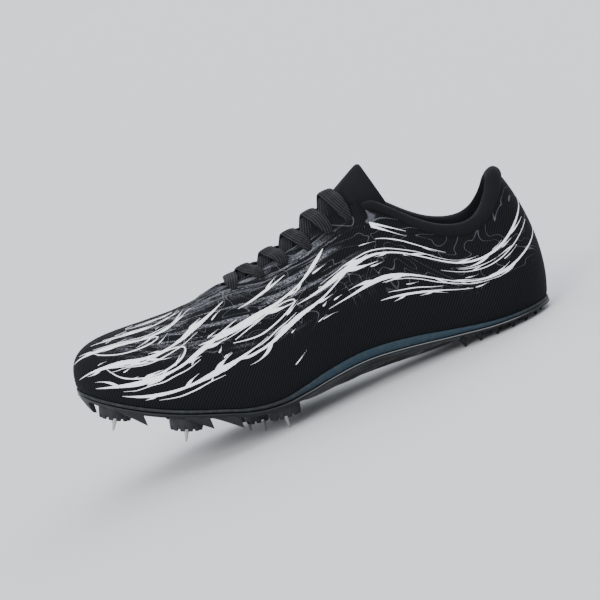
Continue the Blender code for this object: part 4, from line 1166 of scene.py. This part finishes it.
def tonguePuff(share):  # the pad swells between the crossings
    g, rows = tongueLook, holeLook["shares"]
    if rows[-1] < share < rows[0]:
        return g["puff"] * max(g["puffLow"], -math.cos(2 * math.pi * (share - rows[-1]) / g["puffPitch"]))
    return g["puff"] * g["puffTip"] if share <= rows[-1] else 0.0


def makeTongue():
    g = tongueLook
    sections = []
    for k in range(g["stations"] + 1):
        share = mix(g["tip"], g["front"], k / g["stations"])
        line = tongueLine(share)
        places = smoothLine([p for p, n in line], g["cuts"])
        normals = [n.normalized() for n in smoothLine([n for p, n in line], g["cuts"])]
        fromTip = (share - g["tip"]) * last["length"] / g["tipRound"]
        swell = math.sqrt(max(0.02, 1 - (1 - fromTip) ** 2)) if fromTip < 1 else 1.0
        puff = tonguePuff(share)
        outer, inner = [], []
        final = len(places) - 1
        for i, (place, normal) in enumerate(zip(places, normals)):
            across = math.sin(math.pi * i / final)
            deep = mix(g["thin"], g["thick"], across)
            edge = math.sqrt(min(1.0, min(i, final - i) / g["edgeRows"] + 0.06))
            middle = place - normal * deep / 2
            outer.append(middle + normal * (deep / 2 * edge * swell + puff * across))
            inner.append(middle - normal * deep / 2 * edge * swell)
        sections.append(outer + inner[::-1])
    vertices, faces, uvs = tubeGrid(sections)
    tongue = newPiece("tonguePad", vertices, faces, tongueKnit, ["tongue"], uvs)


makeTongue()
print("collar and tongue made")


# Lace: one flat braid through all twelve holes.
laceLook = {
    "width": 0.0080, "thick": 0.0024, "over": 0.0014, "cross": 0.0024, "cords": 6, "cordDepth": 0.32,
    "square": 0.55, "around": 40, "cuts": 4, "hold": 1.4,
    # Share of the way between two holes, height over the last, share of the width.
    "bar": ((0.0, -0.0022, 0.42), (0.0, 0.0004, 0.5), (0.09, 0.0021, 0.85), (0.22, 0.0021, 1.0),
            (0.5, 0.0022, 1.0), (0.78, 0.0021, 1.0), (0.91, 0.0021, 0.85), (1.0, 0.0004, 0.5),
            (1.0, -0.0022, 0.42)),
}


def laceRun(a, b, here, top):  # one crossing, from under the stay at hole a to over it at hole b
    g, step = laceLook, last["facingStep"]
    y0, y1 = holeFrame(a, here)[0].y, holeFrame(b, -here)[0].y
    keys = []
    for f, lift, wide in ((0.0, -0.0040, 0.45), (0.10, -0.0030, 0.8), (0.20, -0.0020, 1.0),
                          (0.34, 0.0002, 1.0), (0.5, 0.0008 + g["cross"] * top, 1.0), (0.66, 0.0014, 1.0),
                          (0.80, step + g["over"], 1.0), (0.93, step + g["over"], 0.85),
                          (1.0, step - 0.0001, 0.5), (1.0, -0.0022, 0.42)):
        place, normal = archPoint(mix(a, b, f), mix(y0, y1, f))
        keys.append((place + normal * lift, normal, wide))
    return keys


def laceKeys():  # place, way out, width share, from one top hole to the other
    shares = holeLook["shares"]
    runs = []
    for side in (-1, 1):
        keys = []
        for n in range(len(shares) - 1):
            here = side if n % 2 == 0 else -side
            top = (n + (side > 0)) % 2  # which strip lies over the other at this crossing
            keys += laceRun(shares[n], shares[n + 1], here, top)
        runs.append(keys)
    bar = []
    y = abs(holeFrame(shares[0], -1)[0].y)
    for f, lift, wide in laceLook["bar"]:
        place, normal = archPoint(shares[0], mix(-y, y, f))
        bar.append((place + normal * lift, normal, wide))
    return runs[0][::-1] + bar + runs[1]


def laceSides(places, normals):  # way across the braid at each place, with no sudden turn
    sides, across = [], None
    for k in range(len(places)):
        ahead = (places[min(k + 1, len(places) - 1)] - places[max(k - 1, 0)]).normalized()
        side = ahead.cross(normals[k].normalized())
        if side.length < 0.35 and across is not None:
            side = across - ahead * across.dot(ahead)
        side.normalize()
        if across is not None:
            if side.dot(across) < 0:
                side = -side
            side = (across + side * laceLook["hold"]).normalized()
            side = (side - ahead * side.dot(ahead)).normalized()
        across = side
        sides.append((side, side.cross(ahead).normalized()))
    return sides


def makeLace():
    g = laceLook
    keys = laceKeys()
    places = smoothLine([p for p, n, w in keys], g["cuts"])
    normals = smoothLine([n for p, n, w in keys], g["cuts"])
    widths = smoothLine([Vector((w, 0, 0)) for p, n, w in keys], g["cuts"])
    sections = []
    for place, (side, up), width in zip(places, laceSides(places, normals), widths):
        wide = width.x
        half = g["width"] / 2 * wide
        deep = g["thick"] / 2 * mix(1.5, 1.0, wide)
        section = []
        for j in range(g["around"]):
            angle = 2 * math.pi * j / g["around"]
            x = math.cos(angle)
            bulge = math.copysign(abs(math.sin(angle)) ** g["square"], math.sin(angle))
            groove = 0.5 - 0.5 * math.cos(2 * math.pi * g["cords"] * (x + 1) / 2)
            cord = 1 - g["cordDepth"] * groove * wide
            section.append(place + side * half * x + up * deep * bulge * cord)
        sections.append(section)
    vertices, faces, uvs = tubeGrid(sections)
    swapped = [[(v, u) for u, v in uv] for uv in uvs]  # X across, Y along
    print("lace length in metres", round(walkAlong(places)[-1], 3))
    newPiece("lace", vertices, faces, braid, ["laces"], swapped, flat=50.0)


makeLace()


# Midsole and insole.
soleLook = {
    "counts": {"heel": 18, "collar": 14, "facing": 34, "nose": 4, "vamp": 8, "toe": 26},
    "lip": 0.0009, "bandBulge": 0.0006, "insoleInset": 0.003, "insoleThick": 0.003, "insoleLift": 0.0006,
    "foam": (0.011, 0.0125, 0.014), "shank": (0.010, 0.025, 0.037), "fleck": (0.030, 0.038, 0.044),
    "shankFront": (-0.035, 0.005), "shankBack": (0.125, 0.08), "fleckLevels": (0.4, 0.9),
}


def halfAt(x, side):  # the sole's half width
    share = shareOf(x)
    if share < last["heelTurn"]:
        run = (last["heelTurn"] - share) * last["length"]
        deep = last["heelTurn"] * last["length"] - last["heelOverhang"]
        return footHalf(last["heelTurn"], side) * math.sqrt(max(0.0, 1 - (run / deep) ** 2))
    if share > last["toeTurn"]:
        run = (share - last["toeTurn"]) / (1 - last["toeTurn"])
        half = footHalf(last["toeTurn"], side) * math.sqrt(max(0.0, 1 - run ** 2))
        return half + side * last["toeShift"] * min(1.0, run) ** 2
    return footHalf(share, side)


def midTop(x, y):
    return featherHeight(x, y) - last["gap"]


def midBottom(x, y):
    return midTop(x, y) - bandAt(shareOf(x)) * last["length"]


def plateTop(x, y):
    return midBottom(x, y) - last["gap"]


def plateBottom(x, y):
    share = shareOf(x)
    side = -1 if y < 0 else 1
    inside = max(0.0, halfAt(x, side) - abs(y))
    deep = mix(edgeAt(share), depthAt(share), ease(inside / (tuckAt(share) * last["length"])))
    return plateTop(x, y) - deep * last["length"]


soleRays = roundShoe(soleLook["counts"])
soleWalk = footArcOf(soleRays)


def soleQuads(count):  # quads round the sole with their column and row, count points to a ray
    for k in range(len(soleRays)):
        m = (k + 1) % len(soleRays)
        for j in range(count - 1):
            yield k, j, (k * count + j, m * count + j, m * count + j + 1, k * count + j + 1)


def heelFade(share):  # the sole's edges stand out less round the heel's back
    return mix(0.15, 1.0, ease((share - 0.04) / 0.12))


def flatFoot(ray):
    return Vector((ray["foot"].x, ray["foot"].y, 0))


def onSurface(p, height):
    return Vector((p.x, p.y, height(p.x, p.y)))


def layerPiece(name, top, bottom, inset, bulge, material, nodes):
    shares = (0.0, 0.3, 0.6, 0.85, 0.96, 1.0)  # from the middle out to the rim
    rims = (0.12, 0.35, 0.65, 0.88)  # down the rim
    vertices, faces, uvs = [], [], []
    for ray in soleRays:
        spine = ray["spine"]
        way = flatFoot(ray) - spine
        kept = 1 - inset / way.length
        spots = [spine + way * f * kept for f in shares]
        rim = spine + way * kept
        high, low = top(rim.x, rim.y), bottom(rim.x, rim.y)
        vertices += [onSurface(p, top) for p in spots]
        for f in rims:
            swell = bulge * heelFade(shareOf(rim.x)) * math.sin(math.pi * f) ** 0.5
            out = rim + ray["out"] * swell
            vertices.append(Vector((out.x, out.y, mix(high, low, f))))
        vertices += [onSurface(p, bottom) for p in spots[::-1]]
    for k, j, quad in soleQuads(2 * len(shares) + len(rims)):
        faces.append(quad)
        if len(shares) - 1 <= j < len(shares) + len(rims):  # the side's UVs run along it
            u, v = soleWalk[k:k + 2], (j * mm, j * mm + mm)
            uvs.append([(u[0], v[0]), (u[1], v[0]), (u[1], v[1]), (u[0], v[1])])
        else:
            uvs.append([(vertices[i].x, vertices[i].y) for i in quad])
    return newPiece(name, vertices, faces, material, nodes, uvs)


def midsoleFinish():
    look = soleLook
    material, tree, shader = finish("foamBand", look["foam"], 0.6, coat=0.05, coatRoughness=0.3,
                                    specular=0.2)
    place = objectPlace(tree)
    x = splitNode(tree, place)["X"]
    shank = fadeNode(tree, (x, look["shankFront"]), (x, look["shankBack"]))
    color = mixColor(tree, shank, look["foam"], look["shank"])
    fleck = noiseNode(tree, place, 380.0, 3.0, 0.6)
    color = mixColor(tree, rampNode(tree, fleck, *look["fleckLevels"]), color, look["fleck"])
    tree.links.new(color, shader.inputs["Base Color"])
    addBump(tree, shader, fleck, 0.00010)
    return material


layerPiece("midsoleBand", midTop, midBottom, 0.0, soleLook["bandBulge"], midsoleFinish(),
           ["midsole"])
layerPiece("insoleSheet", lambda x, y: featherHeight(x, y) + soleLook["insoleThick"],
           lambda x, y: featherHeight(x, y) + soleLook["insoleLift"], soleLook["insoleInset"], 0.0,
           sockCloth, ["insole"])
print("midsole and insole made")


# Glossy plate with flowing strands.
plateLook = {
    "rings": 58, "strand": 0.0015, "strandLength": 46.0, "strandPitch": 7.0, "sharp": 2.6,
    "sway": 0.9, "warp": 0.55, "narrow": 3.4,
    "strands": ((1.0, 0.0, 5.0, 1.0), (1.55, 11.0, 9.0, 0.75)),  # scale, two places in the noise, weight
    "rimFlat": 0.10, "wellFlat": (0.0004, 0.0030), "heelRelief": 0.45, "heelRun": (0.020, 0.045),
    "smoke": (0.0065, 0.0070, 0.0080), "crest": (0.020, 0.021, 0.023),
    "heelWindow": (0.120, 0.076, 0.050), "toeWindow": (0.140, 0.122, 0.100),
    # The light edge colour is a painted highlight line on the upper faces of the rim; the side colour is
    # the rim's own dark colour.
    "edge": (0.15, 0.155, 0.16), "side": (0.0085, 0.0098, 0.0112),
    "highlightFront": (-0.035, 0.01), "highlightBack": (0.118, 0.098),
    # The scalloped edge of the forefoot: depth, pitch, first share, run.
    "scallop": 0.0012, "scallopPitch": 0.0105, "scallopFrom": 0.57, "scallopRun": 0.05,
    # The brown windows: middle and reach at the heel, ends and runs at the toe, in shares and metres.
    "troughs": (0.62, 0.35), "heelMiddle": 0.185, "heelReach": (0.10, 0.016),
    "toeFrom": (0.56, 0.08), "toeTo": (0.93, 0.06), "toeRim": (0.92, 0.15),
    # The rim's side: share of the way down, share of the lip.
    "rim": ((0.06, 0.65), (0.16, 1.0), (0.34, 1.0), (0.42, 0.80), (0.75, 0.72), (0.93, 0.60)),
}
wellLook = {
    "radius": 0.0095, "height": 0.0062, "seat": 0.0014, "tooth": 0.0012, "notches": 12, "play": 0.0003,
    "pin": 0.0070, "pinRadius": 0.0016, "washer": 0.0027, "washerHeight": 0.0008, "thread": 0.0019,
    "faceDepth": 0.0016, "slotDepth": 0.0008, "wellSegments": 144, "pinSegments": 72,
    # How deep the notches cut at each turned row of the well, from row 4 on.
    "notchRows": (0.25, 0.75, 1.0, 1.0, 0.55),
}
heelToothRows = (
    (0.052, -0.050), (0.052, 0.060), (0.068, -0.135), (0.068, 0.140), (0.092, -0.200),
    (0.088, -0.060), (0.090, 0.070), (0.096, 0.205), (0.122, -0.230), (0.118, -0.130),
    (0.122, 0.130), (0.128, 0.235), (0.158, -0.245), (0.156, -0.160), (0.160, 0.155),
    (0.166, 0.240), (0.194, -0.230), (0.196, 0.225), (0.228, -0.215), (0.232, 0.205),
)
sawRows = ((0.706, -1), (0.762, -1), (0.885, -1), (0.690, 1), (0.775, 1), (0.893, 1))
toeSawRows = ((70.0, -1), (66.0, 1))  # turn round the toe, side
toothLook = {
    "height": 0.0052, "width": 0.0042, "root": 0.0012, "corner": 0.28,
    "rows": ((1.0, 0.0), (0.96, 0.15), (0.56, 0.62), (0.24, 0.97), (0.20, 1.0)),  # shares of width, height
    "saw": 0.0062, "sawLength": 0.0135, "sawThick": 0.0038, "sawThin": 0.62, "sawSteps": 10,
}


def wellFrames():
    frames = []
    for share, side, lean, stands in wellRows:
        x, y = -share * last["length"], side * last["ballWidth"]
        axis = Vector((-math.sin(math.radians(lean)), 0, -math.cos(math.radians(lean))))
        z = (wellLook["height"] + wellLook["pin"]) * -axis.z if stands else plateBottom(x, y)
        frames.append((Vector((x, y, z)), axis))
    return frames


wells = wellFrames()


def strandHeight(x, y, q):  # 0 in the troughs to 1 on the strands; q is the share out from the middle
    p = plateLook
    across = q * halfAt(x, -1 if y < 0 else 1) / mm / p["strandPitch"]
    ahead = -x / mm / p["strandLength"]
    spot = Vector((ahead, across + p["sway"] * noise.noise(Vector((ahead * 0.7, 3.1, 0.0))), 0.0))
    warp = noise.noise(spot * 1.3 + Vector((7.0, 1.0, 2.0))) * p["warp"]
    heights = []
    for scale, a, b, weight in p["strands"]:
        far = abs(noise.noise(spot * scale + Vector((a, warp, b)))) * p["narrow"]
        heights.append((1 - min(1.0, far)) * weight)
    return max(heights)


def reliefAt(x, y, q):  # rise of the troughs, and the strand's height that the tint takes
    p = plateLook
    h = strandHeight(x, y, q)
    crown = 1 - (1 - h) ** p["sharp"]
    keep = ease((1 - abs(q)) / p["rimFlat"])
    gap, run = p["wellFlat"]
    for place, _ in wells:
        far = math.hypot(x - place.x, y - place.y) - wellLook["radius"]
        keep *= ease((far - gap) / run)
    start, run = p["heelRun"]
    keep *= mix(p["heelRelief"], 1.0, ease((-x - start) / run))
    return keep * p["strand"] * (1 - crown), h


def plateFinish():
    p = plateLook
    material, tree, shader = finish("smokyPlate", p["smoke"], 0.26, coat=0.25, coatRoughness=0.05,
                                    specular=0.2)
    tint = tree.nodes.new("ShaderNodeVertexColor")
    tint.layer_name = "tint"
    split = tree.nodes.new("ShaderNodeSeparateColor")
    tree.links.new(tint.outputs["Color"], split.inputs["Color"])
    place = objectPlace(tree)
    cloud = noiseNode(tree, place, 60.0, 3.0, 0.55)
    color = mixColor(tree, rampNode(tree, split.outputs["Blue"], 0.35, 1.0), p["smoke"], p["crest"])
    for channel, window, low in (("Red", "heelWindow", 0.25), ("Green", "toeWindow", 0.22)):
        mask = mathNode(tree, "MULTIPLY", split.outputs[channel], rampNode(tree, cloud, low, 0.6))
        color = mixColor(tree, mask, color, p[window])
    tree.links.new(color, shader.inputs["Base Color"])
    addBump(tree, shader, noiseNode(tree, place, 420.0, 2.0), 0.00005)
    return material


def paintedHighlightEdgeFinish():  # a painted highlight: a light line along the shank and heel that darkens to the forefoot
    p = plateLook
    material, tree, shader = finish("plateEdgePaintedHighlight", p["edge"], 0.45, coat=0.1, coatRoughness=0.2, specular=0.3)
    x = splitNode(tree, objectPlace(tree))["X"]
    # Where the painted highlight line shows: it fades out towards the forefoot and at the heel's back.
    light = fadeNode(tree, (x, p["highlightFront"]), (x, p["highlightBack"]))
    tree.links.new(mixColor(tree, light, p["side"], p["edge"]), shader.inputs["Base Color"])
    return material


def plateTint(share, p, q, h):  # red: heel window, green: toe window, blue: strands
    g = plateLook
    trough, toe, rim = (ease((g[label][0] - value) / g[label][1])
                        for label, value in (("troughs", h), ("toeTo", share), ("toeRim", q)))
    heel = math.exp(-((share - g["heelMiddle"]) / g["heelReach"][0]) ** 2 - (p.y / g["heelReach"][1]) ** 2)
    front = ease((share - g["toeFrom"][0]) / g["toeFrom"][1]) * toe * rim
    patch = ease((noise.noise(Vector((p.x * 45, p.y * 60, 4.0))) + 0.10) / 0.25)
    return trough * heel, trough * front * patch, max(0.0, h), 1


def makePlate():
    g = plateLook
    rings, rim = g["rings"], g["rim"]
    tops, plain, underRows = (0.0, 0.5, 0.9, 1.0), (0, 0, 0, 1), 3
    vertices, faces, uvs, parts, tints = store = [], [], [], [], []
    for k, ray in enumerate(soleRays):
        foot = flatFoot(ray)
        way = foot - ray["spine"]
        share = shareOf(foot.x)
        notch = 0.5 - 0.5 * math.cos(2 * math.pi * soleWalk[k] / g["scallopPitch"])
        cut = g["scallop"] * ease((share - g["scallopFrom"]) / g["scallopRun"]) * notch ** 3
        lip = soleLook["lip"] * heelFade(share)
        for f in tops:
            vertices.append(onSurface(ray["spine"] + way * f, plateTop))
            tints.append(plain)
        high, low = plateTop(foot.x, foot.y), plateBottom(foot.x, foot.y)
        for f, out in rim:
            spot = foot + ray["out"] * (lip * out - cut * ease((f - 0.34) / 0.2))
            vertices.append(Vector((spot.x, spot.y, mix(high, low, f))))
            tints.append(plain)
        for r in range(rings + 1):
            q = 1 - r / rings
            p = ray["spine"] + way * q
            relief, h = reliefAt(p.x, p.y, q * ray["side"])
            shareHere = shareOf(p.x)
            if r < underRows:  # the lip runs out under the plate
                p = p + ray["out"] * (lip * 0.35 - cut) * (1 - r / underRows)
            vertices.append(Vector((p.x, p.y, plateBottom(p.x, p.y) + relief)))
            tints.append(plateTint(shareHere, p, q, h))
    for k, j, quad in soleQuads(len(tops) + len(rim) + rings + 1):
        faces.append(quad)
        uvs.append([(vertices[i].x, vertices[i].y) for i in quad])
        parts.append(1 if 4 <= j <= 6 else 2 if 7 <= j <= 9 else 0)  # painted highlight edge, dark side, gloss
    addHeelTeeth(store)
    addSawTeeth(store)
    keep = {tuple(round(c, 7) for c in v + shift): tint for v, tint in zip(vertices, tints)}
    surfaces = [plateFinish(), paintedHighlightEdgeFinish(),
                finish("plateSide", g["side"], 0.55, coat=0.05, coatRoughness=0.3, specular=0.22)[0]]
    plate = newPiece("flexPlate", vertices, faces, surfaces, ["outsole_plate"], uvs, None,
                     parts, flat=42.0)
    layer = plate.data.color_attributes.new("tint", "FLOAT_COLOR", "POINT")
    for vertex in plate.data.vertices:
        layer.data[vertex.index].color = keep.get(tuple(round(c, 7) for c in vertex.co), plain)


def addSolid(store, corners, polys, part):
    vertices, faces, uvs, parts, tints = store
    first = len(vertices)
    vertices += corners
    tints += [(0, 0, 0.6, 1)] * len(corners)
    for poly in polys:
        face = tuple(first + i for i in poly)
        faces.append(face)
        uvs.append([(vertices[i].x, vertices[i].y) for i in face])
        parts.append(part)


def sawEdges():  # places along each saw tooth from its front to its steep end, with the way in
    steps, edges = toothLook["sawSteps"], []
    for share, side in sawRows:
        edge = []
        for k in range(steps + 1):
            x = -share * last["length"] - (1 - k / steps) * toothLook["sawLength"]
            y = side * (halfAt(x, side) + soleLook["lip"] / 2)
            edge.append((Vector((x, y, 0)), Vector((0, -side, 0))))
        edges.append(edge)
    for turn, side in toeSawRows:
        reach = math.degrees(toothLook["sawLength"] / footHalf(last["toeTurn"], side))
        edge = []
        for k in range(steps + 1):
            ray = toeRay(side, (turn + (1 - k / steps) * reach) / 90.0)
            edge.append((flatFoot(ray) + ray["out"] * soleLook["lip"] / 2, -ray["out"]))
        edges.append(edge)
    return edges


def addHeelTeeth(store):  # small pyramids with eased corners
    t = toothLook
    for share, side in heelToothRows:
        x, y = -share * last["length"], side * last["ballWidth"]
        base = plateBottom(x, y) + t["root"]
        tip = max(0.0, plateBottom(x, y) - t["height"])
        corners = []
        for size, f in t["rows"]:
            half = t["width"] / 2 * size
            eased = half * (1 - t["corner"])
            for px, py in ((1, -1), (1, 1), (-1, 1), (-1, -1)):
                ends = ((half, eased), (eased, half)) if px * py > 0 else ((eased, half), (half, eased))
                for ax, ay in ends:
                    corners.append(Vector((x + px * ax, y + py * ay, mix(base, tip, f))))
        addSolid(store, corners, ringFaces(len(t["rows"]), 8), 0)


def addSawTeeth(store):  # fins: a long slope from the front, steep towards the heel
    t = toothLook
    for edge in sawEdges():
        corners = []
        for k, (spot, inward) in enumerate(edge):
            f = k / (len(edge) - 1)
            thick = t["sawThick"] * mix(1.0, t["sawThin"], f)
            drop = t["saw"] * f ** 1.1
            section = ((0.0002, -t["root"]), (0.0, drop * 0.5), (0.0003, drop - 0.0003), (0.0008, drop),
                       (thick - 0.0005, drop), (thick, drop - 0.0004), (thick + 0.0006, -t["root"]))
            for deep, below in section:
                p = spot + inward * deep
                low = plateTop(p.x, p.y) - edgeAt(shareOf(p.x)) * last["length"]
                corners.append(Vector((p.x, p.y, low - below)))
        addSolid(store, corners, ringFaces(len(edge), len(section)), 2)


makePlate()
print("plate made")


# Wells and spikes: turned profiles of radius and height, with notches and slots from a wave.
def turnPiece(name, profile, segments, place, axis, material, node, wave):
    turn = axis.to_track_quat("Z", "Y").to_matrix()
    vertices = []
    for row, (radius, height) in enumerate(profile):
        for j in range(segments):
            angle = 2 * math.pi * j / segments
            dr, dh = wave(row, angle)
            spot = Vector(((radius + dr) * math.cos(angle), (radius + dr) * math.sin(angle), height + dh))
            vertices.append(place + turn @ spot)
    return newPiece(name, vertices, ringFaces(len(profile), segments), material, [node], flat=32.0)


def wellFinish():
    material, tree, shader = finish("mattDisc", (0.011, 0.0125, 0.0145), 0.55, coat=0.05, coatRoughness=0.4,
                                    specular=0.3)
    addBump(tree, shader, noiseNode(tree, objectPlace(tree), 1500.0, 2.0, 0.6), 0.00006)
    return material


discMatt = wellFinish()


def makeWell(number, place, axis):
    w = wellLook
    top, r, tooth = w["height"], w["radius"], w["tooth"]
    bore = w["thread"] + w["play"]
    profile = ((r - 0.0004, 0.0003 - w["seat"]), (r, 0.0007 - w["seat"]), (r, 0.0), (r * 0.985, top * 0.45),
               (r * 0.955, top * 0.72), (r * 0.93, top - tooth * 0.35), (r * 0.90, top), (r * 0.80, top),
               (r * 0.765, top - tooth * 0.45), (r * 0.74, top - tooth * 1.25),
               (r * 0.55, top - tooth * 1.5), (r * 0.44, top - tooth * 1.35), (r * 0.36, top - tooth * 1.5),
               (bore, top - tooth * 1.6), (bore, top - 0.0045), (bore * 0.3, top - 0.0047))

    def wave(row, angle):
        if not 4 <= row < 4 + len(w["notchRows"]):
            return 0.0, 0.0
        notch = ease((math.cos(angle * w["notches"]) - 0.15) / 0.35)
        return -0.0004 * notch * (row < 7), -tooth * 0.95 * notch * w["notchRows"][row - 4]

    turnPiece("disc_%d" % number, profile, w["wellSegments"], place, axis, discMatt,
              "spike_well_%d" % number, wave)


def makeSpike(number, place, axis):
    w = wellLook
    thread, washer, pin = w["thread"], w["washer"], w["pinRadius"]
    face = w["height"] - w["faceDepth"]
    tip = w["height"] + w["pin"]
    base = face + w["washerHeight"]
    profile = ((thread * 0.7, face - 0.0026), (thread, face - 0.0023), (thread, face),
               (washer - 0.0002, face), (washer, face + 0.0002), (washer, base - 0.0002),
               (washer - 0.0002, base), (pin * 1.30, base), (pin * 1.30, base + 0.0012),
               (pin * 0.95, base + 0.0017), (pin * 0.66, mix(base, tip, 0.45)),
               (pin * 0.46, mix(base, tip, 0.8)), (0.00050, tip - 0.0002), (0.00034, tip))

    def wave(row, angle):  # two spanner slots in the washer
        if 4 <= row <= 6:
            return -w["slotDepth"] * ease((abs(math.cos(angle)) - 0.975) / 0.012), 0.0
        return 0.0, 0.0

    turnPiece("pin_%d" % number, profile, w["pinSegments"], place, axis, steel,
              "spike_%d" % number, wave)


for number, (place, axis) in enumerate(wells, 1):
    makeWell(number, place, axis)
    makeSpike(number, place, axis)
print("wells and spikes made")


# Floor, light and camera.
stageLook = {
    "floor": (0.620, 0.630, 0.645), "sky": (0.898, 0.937, 1.0), "skyStrength": 1.379, "floorSize": 300.0,
    "elevation": 8.0, "roll": 23.3, "lens": 150.0, "sensor": 36.0, "picture": 600, "pixelsPerMm": 1.815,
    "clip": (0.05, 400.0),
}
# name, where it shines from, strength, width of the source in degrees, colour
lightRows = (
    ("keyLight", (-0.55, -1.10, 0.75), 2.124, 30.0, (1.0, 0.98, 0.95)),
    ("rimLight", (0.45, 0.85, 0.65), 1.30, 40.0, (0.90, 0.95, 1.0)),
    ("topLight", (0.05, 0.05, 1.0), 0.55, 60.0, (1.0, 1.0, 1.0)),
)


def softLight(name, way, strength, width, color):
    data = bpy.data.lights.new(name, "SUN")
    data.energy = strength
    data.angle = math.radians(width)
    data.color = color
    linkObject(name, data).rotation_euler = (-Vector(way)).to_track_quat("-Z", "Y").to_euler()


def setStage():
    g = stageLook
    bpy.ops.mesh.primitive_plane_add(size=g["floorSize"], location=(0, 0, 0))
    floor = bpy.context.object
    floor.name = "floor"
    floor.data.materials.append(finish("paleFloor", g["floor"], 0.85, specular=0.2)[0])
    world = bpy.data.worlds.new("studio")
    world.use_nodes = True
    background = world.node_tree.nodes["Background"].inputs
    background[0].default_value = (*g["sky"], 1)
    background[1].default_value = g["skyStrength"]
    bpy.context.scene.world = world
    for row in lightRows:
        softLight(*row)


def setCamera():
    g = stageLook
    data = bpy.data.cameras.new("camera")
    data.lens = g["lens"]
    data.sensor_width = g["sensor"]
    data.clip_start, data.clip_end = g["clip"]
    camera = linkObject("camera", data)
    rise = math.radians(g["elevation"])
    back = Vector((0, -math.cos(rise), math.sin(rise)))
    roll = Matrix.Rotation(math.radians(g["roll"]), 3, "Z").to_quaternion().inverted()
    camera.rotation_mode = "QUATERNION"
    camera.rotation_quaternion = (-back).to_track_quat("-Z", "Y") @ roll
    low, high = cadBox
    across = g["picture"] / g["pixelsPerMm"] * mm
    camera.location = (low + high) / 2 + back * (across * g["lens"] / data.sensor_width)
    bpy.context.scene.camera = camera


setStage()
setCamera()
print("stage ready")
